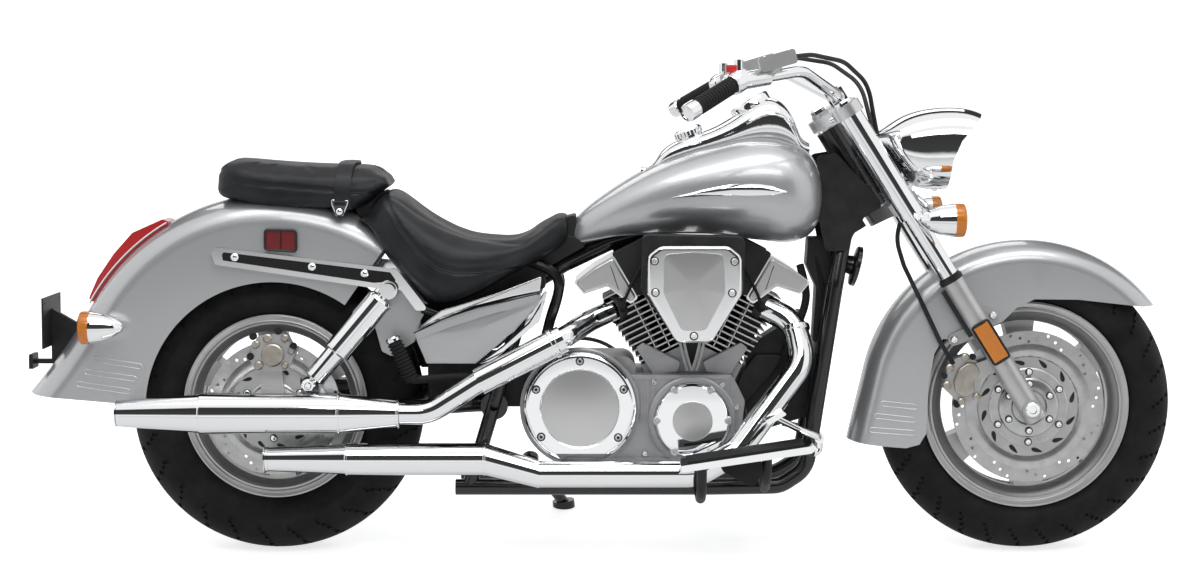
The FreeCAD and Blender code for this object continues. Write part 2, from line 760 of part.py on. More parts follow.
def exhaust_front():
    path = [V(1075, -52, 552), V(1150, -82, 515), V(1166, -120, 430), V(1020, -172, 240),
            V(930, LOW_MUFFLER_Y, LOW_PIPE_Z), V(582, LOW_MUFFLER_Y, LOW_PIPE_Z)]
    pipe = hollow_pipe(path, FRONT_HEADER_R, 80.0)
    can = muffler([(-6, 26), (168, 33), (170, LOW_MUFFLER_R), (470, LOW_MUFFLER_R)], LOW_MUFFLER_Y, LOW_MUFFLER_Z)
    cone = funnel(470, LOW_MUFFLER_Z, LOW_MUFFLER_R, 588, LOW_PIPE_Z, FRONT_HEADER_R + 1.5, LOW_MUFFLER_Y)
    whole = join(pipe, can, cone).cut(engine_heads() + rocker_covers())
    return max(whole.Solids, key=lambda s: s.Volume)


# Bodywork
@cache
def rear_fender_block(grow):
    return fender(REAR_AXLE, REAR_FENDER_R, REAR_FENDER_HALF, 220, 55, 300, 55, 150, 1400, 262,
                  grow=grow, solid=True)


def rear_fender():
    skin = fender(REAR_AXLE, REAR_FENDER_R, REAR_FENDER_HALF, 220, 55, 300, 55, 150, 1400, 262)
    arch = cross(REAR_AXLE, REAR_ARCH_R, -200, 200)
    inside = slab([(-600, 361), (-345, 339), (-279, 333), (-100, 333), (263, 434), (294, 434), (322, 500), (318, 560),
                   (290, 620), (240, 690), (208, 745), (190, 840), (-600, 840)], -200, 200)
    return skin.common(inside).cut(arch)


def front_fender():
    skin = fender(FRONT_AXLE, FRONT_FENDER_R, FRONT_FENDER_HALF, 130, 36, 240, 37, 167, 0, 175)
    far = FRONT_FENDER_R + 64
    keep = [(-far, -76), (-322, -90), (-269, -94), (-239, -86), (-224, -61), (-220, 49), (-208, 117), (-189, 150),
            (-161, 147), (-58, 188), (-29, 217), (12, 238), (109, 237), (252, 221), (far, 221), (far, far), (-far, far)]
    return skin.common(slab(about(FRONT_AXLE, keep), -200, 200))


TANK_STATIONS = [(654, 690, 718, 28), (668, 682, 742, 50), (717, 692, 786, 80), (809, 705, 845, 114),
                 (901, 710, 886, 140), (995, 705, 914, 157), (1075, 694, 928, 163), (1138, 688, 917, 158),
                 (1184, 703, 890, 134), (1209, 742, 846, 88), (1218, 774, 812, 40)]


@cache
def tank_form(grow=0.0):
    stations = [(tank_x(x), low - grow, high + grow, half + grow) for x, low, high, half in TANK_STATIONS]
    first = (stations[0][0] - grow,) + stations[0][1:]
    last = (stations[-1][0] + grow,) + stations[-1][1:]
    return lofted([first] + stations[1:-1] + [last], 2.3)


def fuel_tank():
    tunnel = slab([(tank_x(1300), 500), (tank_x(1300), 850), (tank_x(1100), 812), (tank_x(745), 722), (640, 672),
                   (640, 500)],
                  -BACKBONE_R - 6, BACKBONE_R + 6)
    return tank_form().cut(tunnel)


def tank_console():
    """The bright console along the top of the tank, with the instrument and filler cap."""
    stations = [(812, 838, 858, 20), (850, 850, 880, 36), (950, 880, 934, 52), (1030, 895, 978, 62),
                (1085, 900, 1010, 64), (1110, 900, 1008, 62), (1150, 890, 968, 54), (1186, 880, 910, 34)]
    body = lofted([(tank_x(x), low, high, half) for x, low, high, half in stations])
    body = body.cut(tank_form(SEAT_GAP))
    body = max(body.Solids, key=lambda s: s.Volume)
    foot = V(tank_x(930), 0, 900)
    cap = rod(foot, foot + V(-0.36, 0, 0.93) * 42, 30.0)
    return join(body, cap)


def rider_seat():
    shape = lofted([(192, 740, 757, 112), (230, 695, 783, 134), (265, 640, 808, 156), (316, 586, 772, 174),
                    (372, 552, 733, 182), (429, 567, 708, 180), (485, 596, 700, 166), (542, 627, 704, 138),
                    (587, 649, 731, 110), (626, 671, 757, 86), (648, 692, 752, 60)], 3.0)
    shape = shape.cut(rear_fender_block(1.0))
    bars = [seat_rail(1.0), upright_bar(1.0)]
    bars += [flip(b) for b in bars]
    bridge = rod(V(556, -120, 590), V(556, 120, 590), UPRIGHT_R + 1)
    shape = shape.cut(bars + [spine_bar(1.0), bridge, tank_form(1.0)])
    return max(shape.Solids, key=lambda s: s.Volume)


def pillion_seat():
    shape = lofted([(-126, 800, 852, 62), (-100, 785, 869, 96), (-40, 768, 868, 116), (65, 760, 860, 126),
                    (150, 760, 857, 126), (190, 764, 856, 122), (230, 794, 850, 112), (258, 814, 836, 92)], 3.0)
    shape = shape.cut(rear_fender_block(1.0))
    return max(shape.Solids, key=lambda s: s.Volume)


def fender_rails():
    """The bright struts that carry the fender and the top of each shock."""
    strut = slab([(-130, 672), (-122, 684), (276, 636), (330, 566), (345, 545), (318, 545), (285, 590), (221, 595),
                  (-122, 646)], REAR_FENDER_HALF + 0.3, REAR_FENDER_HALF + 12, 6.0)
    inlay = slab([(-106, 668), (-102, 673), (262, 629), (276, 609), (226, 606), (-104, 655)],
                 REAR_FENDER_HALF + 12 - POCKET, REAR_FENDER_HALF + 13, 3.0)
    strut = strut.cut(inlay)
    boss = cross(V(259, 0, 591), 20.0, REAR_FENDER_HALF + 6, 149.7)
    return both(join(strut, boss))


def tail_lamp():
    shape = slab([(-232, 735), (-250, 741), (-317, 711), (-359, 664), (-395, 611), (-419, 557), (-380, 560),
                  (-299, 655)], -48.0, 48.0, 8.0)
    shape = shape.cut(rear_fender_block(0.3))
    lamp = max(shape.Solids, key=lambda s: s.Volume)
    pads = []
    for sign in (-1, 1):
        y0 = sign * (REAR_FENDER_HALF + 0.3)
        y1 = sign * (REAR_FENDER_HALF + 8)
        pads.append(slab([(-12, 678), (56, 674), (56, 720), (-12, 722)], min(y0, y1), max(y0, y1), 4.0))
    return Part.makeCompound([lamp] + pads)


def rear_signals():
    center = V(-405, -160, 510)
    body = turned([(0, 0), (0, 35), (18, 35), (45, 31), (70, 21), (86, 9), (90, 0)], center, V(1, 0, 0))
    stalk = rod(V(-372, -150, 510), V(-372, -REAR_FENDER_HALF - 0.3, 510), 9.0)
    return both(join(body, stalk))


def plate_bracket():
    face = PLATE_X + PLATE_THICK
    plate = slab([(PLATE_X, 456), (face, 456), (face, 568), (PLATE_X, 568)], -89.0, 89.0)
    arm = slab([(-509, 540), (-509, 425), (-548, 425), (-548, 415), (-500, 415), (-470, 440), (-440, 500)], -8.0, 8.0)
    glass = block(-556, -547, -28, 28, 405, 437)
    hole = cross_x(PLATE_HOLE.y, PLATE_HOLE.z, PLATE_HOLE_R, PLATE_X - 5, face + 5)
    arm = join(plate, arm, glass).cut(rear_fender_block(0.3)).cut([hole, flip(hole)])
    return max(arm.Solids, key=lambda s: s.Volume)


def side_covers():
    panel = slab([(315, 501), (380, 528), (455, 552), (540, 576), (597, 588), (586, 560), (534, 501), (442, 436),
                  (342, 431), (322, 477)], UPRIGHT_Y + UPRIGHT_R + SEAT_GAP, 146.0, 8.0)
    band = slab([(318, 498), (381, 524), (456, 548), (541, 572), (588, 583), (583, 568), (543, 556), (458, 531),
                 (384, 507), (321, 482)], 145.0, 149.0, 3.0)
    return both(join(panel, band))


# Rear end
def swingarm():
    right = bent([V(488, -64, 332), V(446, -66, 332), V(380, -98, 331), V(250, -136, 329), REAR_AXLE + V(0, -136, 0)],
                 18.0, 90.0)
    eye = cross(REAR_AXLE, 26.0, -151, -116)
    tube = rod(V(488, -88, 332), V(488, 88, 332), 24.0)
    brace_x = REAR_TYRE_R + BRACE_GAP
    brace = rod(V(brace_x, -84, 331), V(brace_x, 150, 331), 15.0)
    shaft = rod(V(560, SHAFT_Y, 338), V(60, SHAFT_Y, 328), SHAFT_R)
    drive = turned([(108, 0), (108, 70), (120, DRIVE_R), (170, DRIVE_R), (192, 62), (202, 36), (202, 0)], REAR_AXLE,
                   V(0, 1, 0))
    lug_right = slab([(60, 335), (110, 335), (100, 400), (70, 400)], -138.0, -130.0, 10.0)
    lug_left = slab([(50, 340), (115, 340), (100, 400), (70, 400)], 130.0, 138.0, 10.0)
    axle = cross(REAR_AXLE, REAR_AXLE_R, -152, 112)
    whole = join(right, eye, tube, brace, shaft, drive, lug_right, lug_left, axle)
    return whole


def rear_shocks():
    top = V(259, 0, 591)
    foot = V(85, 0, 384)
    run = (foot - top).normalize()
    y = V(0, -160, 0)
    start = top + y
    steps = [(20, 28, 24.0, 30.0), (28, 170, 30.0, 30.0), (170, 176, 30.0, 24.0), (176, 246, 24.0, 23.0),
             (246, 254, 23.0, 15.0)]
    body = [taper(start + run * a, start + run * b, r0, r1) if r0 != r1 else rod(start + run * a, start + run * b, r0)
            for a, b, r0, r1 in steps]
    upper = cross(top, 16.0, -170, -150)
    lower = cross(foot, 13.0, -170, -138.3)
    neck = rod(start + run * 6, start + run * 264, 9.0)
    return both(join(neck, upper, lower, *body))


def rear_caliper():
    shape = slab([(-50, 440), (-30, 490), (30, 495), (52, 450), (35, 412), (-35, 412)], -128.0, -78.0, 14.0)
    slot = cross(REAR_AXLE, REAR_DISC_R + PAD_GAP, REAR_DISC_Y - PAD_GAP, REAR_DISC_Y + DISC_THICK + PAD_GAP)
    arm = link(REAR_AXLE, REAR_AXLE + V(0, 0, 98.5), 30.0, 20.0, -115.7, -107.0)
    axle = cross(REAR_AXLE, REAR_AXLE_R + 0.3, -200, 200)
    eye = cross(REAR_AXLE, 27.0, -152, -117.7)
    pot = cross(V(3, 0, 447), 24.0, -131.0, -127.0)
    return join(shape.cut(slot), arm.cut(slot), pot).cut(axle)


def foot_side():
    board = slab([(895, 217), (1170, 258), (1182, 268), (1175, 275), (1160, 272), (892, 231)], -325.0, -215.0, 3.0)
    treads = []
    for i in range(BOARD_TREADS):
        x = 915 + 50 * i
        z = 231 + (x - 892) * 41 / 268
        treads.append(slab([(x, z - 2), (x + 26, z + 2), (x + 26, z + 7), (x, z + 3)], -318.0, -222.0))
    board = join(board, *treads)
    arm_a = bent([V(1080, -RAIL_Y + 6, 168), V(1080, -180, 160), V(1080, -240, 190), V(1080, -262, 243)], 11.0, 60.0)
    arm_b = bent([V(940, -RAIL_Y, RAIL_Z - 12), V(940, -190, 138), V(940, -240, 160), V(940, -262, 222)], 11.0, 60.0)
    rail = bent(downtube_points(), DOWNTUBE_R + 0.3, 60.0)
    arms = join(arm_a, arm_b).cut(flip(rail))
    return join(board, *arms.Solids)


def pedal():
    pad = slab([(1072, 322), (1110, 345), (1120, 337), (1082, 314)], -290.0, -240.0, 3.0)
    arm = bent([V(1098, -262, 326), V(1150, -262, 300), V(1190, -240, 282), V(1196, -215, 276)], 7.0, 25.0)
    boss = cross(V(1196, 0, 276), 11.0, -225, -200)
    hanger = bent([V(1196, -205, 276), V(1196, -205, 240), V(1150, -225, 250)], 8.0, 12.0)
    return join(pad, arm, boss, hanger)


def floorboards():
    """A board on two arms each side, with the brake pedal right and the shift lever left."""
    return both(join(foot_side(), pedal()))


def pillion_pegs():
    peg = rod(V(312, -166, 394), V(271, -166, 485), 14.0)
    bar = rod(V(505, -112, 404), V(309, -166, 396), 9.0)
    side = join(peg, bar).cut(flip(upright_bar(SEAT_GAP)))
    return both(max(side.Solids, key=lambda s: s.Volume))


# Steering
@cache
def fork_yokes():
    def plate(low, thick, grow):
        centers = [(0, 0, 34.0), (FORK_OFFSET, -LEG_Y, 34.0), (FORK_OFFSET, LEG_Y, 34.0)]
        corners = [(-30, -14), (-30, 14), (FORK_OFFSET + 6, LEG_Y), (FORK_OFFSET + 34, 60), (FORK_OFFSET + 34, -60),
                   (FORK_OFFSET + 6, -LEG_Y)]
        base = Part.Face(Part.makePolygon([V(x, y, low) for x, y in corners + corners[:1]]))
        body = base.extrude(V(0, 0, thick))
        eyes = [Part.makeCylinder(r, thick, V(x, y, low)) for x, y, r in centers]
        return join(body, *eyes)

    top = plate(YOKE_TOP, YOKE_TOP_THICK, 0)
    low = plate(YOKE_LOW, YOKE_LOW_THICK, 0)
    for sign in (-1, 1):
        low = low.cut(Part.makeCylinder(60, 400, V(FORK_OFFSET, sign * LEG_Y, 400)).common(
            Part.makeBox(400, 400, 400, V(-200, -200 + sign * (200 + LEG_Y - 6), 400))))
        low = low.cut(Part.makeCylinder(COVER_R + 0.3, 400, V(FORK_OFFSET, sign * LEG_Y, 400)))
    stem = Part.makeCylinder(STEM_R, YOKE_TOP + YOKE_TOP_THICK + 6 - YOKE_LOW, V(0, 0, YOKE_LOW))
    races = [Part.makeCylinder(NECK_R - 4, NECK_FOOT - 0.3 - YOKE_LOW - YOKE_LOW_THICK,
                               V(0, 0, YOKE_LOW + YOKE_LOW_THICK)),
             Part.makeCylinder(NECK_R - 4, YOKE_TOP - NECK_HEAD - 0.3, V(0, 0, NECK_HEAD + 0.3))]
    nut = Part.makeCylinder(20, 8, V(0, 0, YOKE_TOP + YOKE_TOP_THICK))
    return on_fork(join(top, low, stem, nut, *races))


def fork_covers():
    legs = []
    for sign in (-1, 1):
        tube = Part.makeCylinder(TUBE_R, YOKE_TOP - LOWER_TOP, V(FORK_OFFSET, sign * LEG_Y, LOWER_TOP))
        cover = Part.makeCylinder(COVER_R, YOKE_TOP - COVER_FOOT, V(FORK_OFFSET, sign * LEG_Y, COVER_FOOT))
        legs.append(on_fork(join(tube, cover)))
    return Part.makeCompound(legs)


def fork_lowers():
    whole = cross(FRONT_AXLE, FRONT_AXLE_R, -LEG_Y - 30, LEG_Y + 30)
    for sign in (-1, 1):
        leg = on_fork(Part.makeCylinder(LOWER_R, LOWER_TOP + 28, V(FORK_OFFSET, sign * LEG_Y, -28)))
        y0, y1 = sorted((sign * (LEG_Y - 23), sign * (LEG_Y + 27)))
        whole = join(whole, leg, cross(FRONT_AXLE, 21.0, y0, y1))
        for target, along in ((FRONT_AXLE + V(-81, 0, 203), 255), (FRONT_AXLE + V(-166, 0, 149), 205)):
            heel = fork(FORK_OFFSET, 0, along)
            y0, y1 = sorted((sign * (FRONT_FENDER_HALF + 0.3), sign * (FRONT_FENDER_HALF + 9)))
            whole = join(whole, link(heel, target, 17.0, 13.0, y0, y1))
    hanger = link(fork(FORK_OFFSET, 0, 120), FRONT_AXLE + V(-139, 0, 72), 16.0, 18.0, -109.0, -100.0)
    hanger = join(hanger, rod(fork(FORK_OFFSET, -104, 120), fork(FORK_OFFSET, -LEG_Y, 120), 16.0))
    return join(whole, hanger)


def front_caliper():
    edge = [(-191, 44), (-177, 102), (-139, 118), (-103, 92), (-109, 22), (-149, 4)]
    shape = slab(about(FRONT_AXLE, edge), -99.7, -62.0, 12.0)
    slot = cross(FRONT_AXLE, FRONT_DISC_R + PAD_GAP, FRONT_DISC_Y - PAD_GAP, FRONT_DISC_Y + DISC_THICK + PAD_GAP)
    return shape.cut(slot)


def half_bar(grow=0.0):
    clamp = fork(RISER_F, 0, RISER_T)
    return bent([clamp, clamp + V(-2, -95, 2), BAR_KNEE, GRIP_INNER, GRIP_END], BAR_R + grow, 70.0)


def handlebar():
    half = half_bar()
    bar = join(half, flip(half))
    risers = []
    base = YOKE_TOP + YOKE_TOP_THICK
    for sign in (-1, 1):
        risers.append(on_fork(Part.makeBox(34, 30, RISER_T + 20 - base, V(RISER_F - 17, sign * RISER_Y - 15, base))))
    return join(bar, *risers)


def grips():
    run = (GRIP_END - GRIP_INNER).normalize()
    start = GRIP_INNER + run * 18
    grip = rod(start, GRIP_END + run * 8, GRIP_R).cut(rod(start - run, GRIP_END + run * 0.3, BAR_R + 0.3))
    return both(grip)


@cache
def bar_controls():
    run = (GRIP_END - GRIP_INNER).normalize()
    house = rod(GRIP_INNER - run * 22, GRIP_INNER + run * 17, 23.0)
    clamp = rod(GRIP_INNER, GRIP_INNER + (BAR_KNEE - GRIP_INNER).normalize() * 78, 19.0)
    reservoir = slab(about(GRIP_INNER, [(53, 19), (129, 41), (121, 71), (45, 49)]),
                     GRIP_INNER.y, GRIP_INNER.y + 45, 6.0)
    stalk = rod(GRIP_INNER + V(89, 30, 39), GRIP_INNER + V(53, 30, 2), 12.0)
    lever = bent([GRIP_INNER + V(73, 12, 13), GRIP_INNER + V(55, -42, -33), GRIP_INNER + V(-15, -116, -91)],
                 6.0, 40.0)
    ball = Part.makeSphere(9.0, GRIP_INNER + V(-17, -118, -93))
    bar = half_bar(SEAT_GAP)
    perch = rod(MIRROR_TOP - V(0, 0, 38), MIRROR_TOP, 9.5)
    thread = rod(MIRROR_TOP - V(0, 0, MIRROR_HOLE_DEPTH), MIRROR_TOP + V(0, 0, 1), MIRROR_HOLE_R)
    whole = join(house, clamp, stalk, reservoir, lever, ball, perch).cut(bar).cut(thread)
    return both(max(whole.Solids, key=lambda s: s.Volume))


def control_cables():
    right = bent([fork(-25.8, -282, 949), fork(36.1, -225, 919.8), fork(94.8, -150, 866.6),
                  fork(120.3, -75, 794.1), fork(96.7, -45, 726.2), fork(81, -30, 679.4)], CABLE_R, 120.0)
    right = right.cut([bar_controls(), headlight()])
    right = max(right.Solids, key=lambda s: s.Volume)
    hose = bent([fork(45, -60, 515.1), fork(-5.6, -72, 471.8), fork(-22.2, -80, 411.4),
                 fork(-34.5, -92, 301.1), fork(-44.4, -105.5, 224.8), fork(-44.5, -105.5, 171.8)], CABLE_R, 90.0)
    hose = hose.cut(fork_yokes())
    hose = max(hose.Solids, key=lambda s: s.Volume)
    return Part.makeCompound([right, flip(right), hose])


@cache
def headlight():
    stations = [(-124, 8, 42, 44), (-90, -36, 64, 72), (-52, -74, 83, 88), (-2, -86, 94, 93), (48, -86, 96, 94),
                (113, -86, 80, 94)]
    shell = lofted([(LAMP.x + dx, LAMP.z + low, LAMP.z + high, half) for dx, low, high, half in stations])
    mouth = [(106, 83), (94, 68), (54, 23), (35, -20), (28, -92), (238, -92), (238, 108), (113, 108)]
    bowl = Part.makeCylinder(82.0, 300, LAMP, V(1, 0, 0))
    shell = shell.cut(slab(about(LAMP, mouth), -200, 200)).cut(bowl)
    stay = rod(fork(62, 0, YOKE_LOW + 18), LAMP + V(-46, 0, -50), 13.0).cut(fork_yokes())
    stay = max(stay.Solids, key=lambda s: s.Volume)
    return join(shell, stay)


def front_signals():
    body = turned([(0, 0), (0, 35.5), (-22, 35.5), (-50, 31), (-74, 21), (-88, 8), (-90, 0)], SIGNAL, V(1, 0, 0))
    bar = bent([fork(81.8, -45, 524), SIGNAL + V(-56, 138, 22), SIGNAL + V(-46, 106, 4), SIGNAL + V(-46, 10, 0)],
               8.0, 20.0)
    bar = max(bar.cut(fork_yokes()).Solids, key=lambda s: s.Volume)
    return both(join(body, bar))


def front_lenses():
    glass = turned([(0, 0), (0, 81.7), (12, 81.7), (24, 60), (30, 30), (32, 0)], LAMP + V(SEAT_GAP, 0, 0),
                   V(1, 0, 0))
    mark = Part.makeBox(34, 9, 88, V(FORK_OFFSET - 17, -LEG_Y - LOWER_R - 5, 131))
    mark = mark.cut(Part.makeCylinder(LOWER_R + 0.3, 400, V(FORK_OFFSET, -LEG_Y, 0)))
    mark = on_fork(mark)
    return Part.makeCompound([glass, mark, flip(mark)])


def side_stand():
    axis = V(STAND_AXIS).normalize()
    eye = rod(STAND_PIVOT - axis * 7.5, STAND_PIVOT + axis * 7.5, 19.0)
    leg = rod(STAND_PIVOT, STAND_FOOT, STAND_R)
    leg = leg.cut([rod(STAND_PIVOT - axis * 31, STAND_PIVOT - axis * 7.5, 21.0),
                   rod(STAND_PIVOT + axis * 7.5, STAND_PIVOT + axis * 31, 14.0)])
    foot = rod(STAND_FOOT + V(-6, -4, 12), STAND_FOOT + V(0, 0, -40), 26.0)
    bore = rod(STAND_PIVOT - axis * 20, STAND_PIVOT + axis * 20, 6.0 + RUN_FIT)
    return join(eye, leg, foot).cut(bore)


def pieces():
    parts = {}
    parts.update(front_wheel())
    parts.update(rear_wheel())
    parts["frame_cradle"] = frame_cradle()
    parts["frame_upper"] = frame_upper()
    parts["neck_cover"] = neck_cover()
    parts["radiator"] = radiator()
    parts["engine_case"] = engine_case()
    parts["cylinders"] = Part.makeCompound(engine_heads())
    parts["rocker_covers"] = Part.makeCompound(rocker_covers())
    parts["air_cleaner"] = air_cleaner()
    parts["engine_covers"] = engine_covers()
    parts["exhaust_rear"] = exhaust_rear()
    parts["exhaust_front"] = exhaust_front()
    parts["fuel_tank"] = fuel_tank()
    parts["tank_console"] = tank_console()
    parts["rider_seat"] = rider_seat()
    parts["pillion_seat"] = pillion_seat()
    parts["rear_fender"] = rear_fender()
    parts["fender_rails"] = fender_rails()
    parts["rear_lenses"] = tail_lamp()
    parts["rear_signals"] = rear_signals()
    parts["plate_bracket"] = plate_bracket()
    parts["side_covers"] = side_covers()
    parts["swingarm"] = swingarm()
    parts["rear_shocks"] = rear_shocks()
    parts["rear_caliper"] = rear_caliper()
    parts["floorboards"] = floorboards()
    parts["pillion_pegs"] = pillion_pegs()
    parts["fork_yokes"] = fork_yokes()
    parts["fork_covers"] = fork_covers()
    parts["fork_lowers"] = fork_lowers()
    parts["front_caliper"] = front_caliper()
    parts["front_fender"] = front_fender()
    parts["handlebar"] = handlebar()
    parts["grips"] = grips()
    parts["bar_controls"] = bar_controls()
    parts["control_cables"] = control_cables()
    parts["headlight"] = headlight()
    parts["front_signals"] = front_signals()
    parts["front_lenses"] = front_lenses()
    parts["side_stand"] = side_stand()
    return parts


def park(parts):
    """Stand both tyres on the floor, lean the machine on its stand, level the stand's foot and centre it."""
    lift = (REAR_TYRE_R - REAR_AXLE_Z) - (FRONT_TYRE_R - FRONT_AXLE_Z)
    pitch = math.degrees(math.asin(lift / WHEELBASE))
    leaned = {}
    for name, shape in parts.items():
        placed = shape.copy()
        placed.rotate(V(0, 0, 0), V(0, 1, 0), pitch)
        placed.rotate(V(0, 0, 0), V(1, 0, 0), -LEAN)
        leaned[name] = placed
    floor = min(leaned[n].optimalBoundingBox().ZMin for n in ("rear_tyre", "front_tyre"))
    ground = Part.makeBox(4000, 4000, 500, V(-1500, -2000, floor - 500))
    leaned["side_stand"] = leaned["side_stand"].cut(ground)
    box = FreeCAD.BoundBox()
    for shape in leaned.values():
        box.add(shape.optimalBoundingBox())
    shift = V(-box.Center.x, -box.Center.y, -box.ZMin)
    for shape in leaned.values():
        shape.translate(shift)
    return leaned, shift


def main():
    os.makedirs("parts", exist_ok=True)
    parts, shift = park(pieces())
    for name, shape in parts.items():
        shape.exportStep("parts/" + name + ".step")
    print("nodes", len(parts), "shift", [round(c, 3) for c in shift])


if __name__ == "__main__":
    main()
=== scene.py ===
# %% [markdown]
# A cruiser motorcycle is a dressed frame: the solids were drawn first in a CAD program and leaned over onto
# the side stand, and this lesson gives them their finishes and adds what a solid can't show, such as tyre
# tread, stitched seats and pressed ribs. The solids load as they are and are never moved or reshaped here.
# Where one needs a finer form, a new piece takes its place and rides on the same moving body.

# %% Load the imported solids
import json
import math

import bmesh
import bpy
from mathutils import Matrix, Vector
from mathutils.bvhtree import BVHTree


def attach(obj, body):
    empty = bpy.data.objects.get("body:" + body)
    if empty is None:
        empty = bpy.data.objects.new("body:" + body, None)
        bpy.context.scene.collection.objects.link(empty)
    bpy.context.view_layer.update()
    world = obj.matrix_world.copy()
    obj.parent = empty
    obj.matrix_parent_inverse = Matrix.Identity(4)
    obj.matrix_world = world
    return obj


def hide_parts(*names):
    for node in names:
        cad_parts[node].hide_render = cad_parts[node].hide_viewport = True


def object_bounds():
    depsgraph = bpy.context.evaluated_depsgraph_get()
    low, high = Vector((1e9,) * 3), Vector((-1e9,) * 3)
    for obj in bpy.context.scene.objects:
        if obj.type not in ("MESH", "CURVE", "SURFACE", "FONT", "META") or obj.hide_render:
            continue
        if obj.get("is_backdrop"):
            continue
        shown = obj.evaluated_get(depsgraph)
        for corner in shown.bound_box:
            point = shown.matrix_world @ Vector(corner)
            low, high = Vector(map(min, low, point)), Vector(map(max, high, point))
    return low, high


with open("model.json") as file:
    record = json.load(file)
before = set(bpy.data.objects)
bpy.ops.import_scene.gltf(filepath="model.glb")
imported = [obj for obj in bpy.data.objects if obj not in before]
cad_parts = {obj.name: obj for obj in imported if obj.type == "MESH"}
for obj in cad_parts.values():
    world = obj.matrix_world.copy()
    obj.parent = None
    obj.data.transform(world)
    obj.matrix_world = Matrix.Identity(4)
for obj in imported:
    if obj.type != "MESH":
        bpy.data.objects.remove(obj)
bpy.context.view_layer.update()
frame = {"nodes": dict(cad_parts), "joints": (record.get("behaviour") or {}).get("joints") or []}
nodes = frame["nodes"]
joints = {joint["name"]: joint for joint in frame["joints"]}

# %% [markdown]
# Everything is easier to place on an upright machine. Its own frame has X forward from the rear axle, Y to
# the rider's left and Z up, in millimetres. One matrix turns that frame by the parking lean, scales it to
# metres and moves it so that the rear axle meets the rear wheel's joint. Every new mesh passes through it
# once, so the object itself stays at the origin.

# %% The machine's own frame
LEAN = math.radians(10)
RAKE = math.radians(32)
REAR_AXLE = Vector((0, 0, 326.5))
FRONT_AXLE = Vector((1669, 0, 328))
FORK_OFFSET = 47.4
LEG_Y = 115
MM = 0.001

lean_turn = Matrix.Rotation(-LEAN, 4, "X")
to_park = Vector(joints["rear_wheel_spin"]["pos_m"]) - lean_turn @ (REAR_AXLE * MM)
PARK = Matrix.Translation(to_park) @ lean_turn @ Matrix.Scale(MM, 4)
UNPARK = PARK.inverted()
STEER_FOOT = Vector((FRONT_AXLE.x - FORK_OFFSET * math.cos(RAKE), 0,
                     FRONT_AXLE.z - FORK_OFFSET * math.sin(RAKE)))


def fork(forward, y, along):
    """A point of the steering, ahead of, beside and along its raked axis."""
    return STEER_FOOT + Vector((forward * math.cos(RAKE) - along * math.sin(RAKE), y,
                                forward * math.sin(RAKE) + along * math.cos(RAKE)))


found = UNPARK @ Vector(joints["front_wheel_spin"]["pos_m"])
print("front axle in the machine's frame", [round(v, 1) for v in found])

# %% [markdown]
# The photograph was taken from the right, about 5.5 m away and a little above the machine's own side axis.
# The machine leans away from the camera, so the camera has to stand higher than that by the lean. The lens
# is set so that 2.69 m fit across the picture at the machine's centre plane.

# %% Camera at the photograph's angle
VIEW_ABOVE = math.radians(4.5)
VIEW_DISTANCE = 5.5
VIEW_WIDTH = 2.690
SENSOR = 36.0

AIM = Vector((721, 0, 590))
aim_point = PARK @ AIM
rise = LEAN + VIEW_ABOVE
away = Vector((0, -math.cos(rise), math.sin(rise)))
camera_data = bpy.data.cameras.new("camera")
camera_data.sensor_width = SENSOR
camera_data.lens = SENSOR * VIEW_DISTANCE / VIEW_WIDTH
camera = bpy.data.objects.new("camera", camera_data)
camera.location = aim_point + away * VIEW_DISTANCE
camera.rotation_euler = (-away).to_track_quat("-Z", "Y").to_euler()
bpy.context.scene.collection.objects.link(camera)
bpy.context.scene.camera = camera
bpy.context.scene.view_settings.view_transform = "Standard"
print("lens", round(camera_data.lens, 1), "mm")

# %% [markdown]
# A studio shot stands on a seamless pale floor that runs out to white. A large plane does that. Light Path
# tells the shader who is looking: the camera, reflections and glass see plain white, while the light that
# falls on the machine comes from a softer grey. The floor keeps a soft shadow, which the shader takes from
# its own shading.

# %% Floor and backdrop
def add_node(tree, kind, **settings):
    """Add one shader node; a setting that names an input sets it, the others are the node's own options."""
    node = tree.nodes.new(kind)
    for name, value in settings.items():
        spot = name.replace("_", " ")
        if spot in node.inputs:
            node.inputs[spot].default_value = value
        else:
            setattr(node, name, value)
    return node


def seen_directly(tree):
    """1 where a camera, a reflection or a glass ray looks, 0 for light that is scattered."""
    path = add_node(tree, "ShaderNodeLightPath")
    total = path.outputs["Is Camera Ray"]
    for kind in ("Is Glossy Ray", "Is Transmission Ray"):
        step = add_node(tree, "ShaderNodeMath", operation="ADD", use_clamp=True)
        tree.links.new(total, step.inputs[0])
        tree.links.new(path.outputs[kind], step.inputs[1])
        total = step.outputs[0]
    return total


world = bpy.data.worlds.new("studio")
bpy.context.scene.world = world
world.use_nodes = True
sky = world.node_tree
sky.nodes.clear()
soft = add_node(sky, "ShaderNodeBackground", Color=(0.80, 0.82, 0.85, 1), Strength=0.55)
white = add_node(sky, "ShaderNodeBackground", Color=(1, 1, 1, 1), Strength=1.0)
choose = add_node(sky, "ShaderNodeMixShader")
out = add_node(sky, "ShaderNodeOutputWorld")
sky.links.new(seen_directly(sky), choose.inputs[0])
sky.links.new(soft.outputs[0], choose.inputs[1])
sky.links.new(white.outputs[0], choose.inputs[2])
sky.links.new(choose.outputs[0], out.inputs[0])

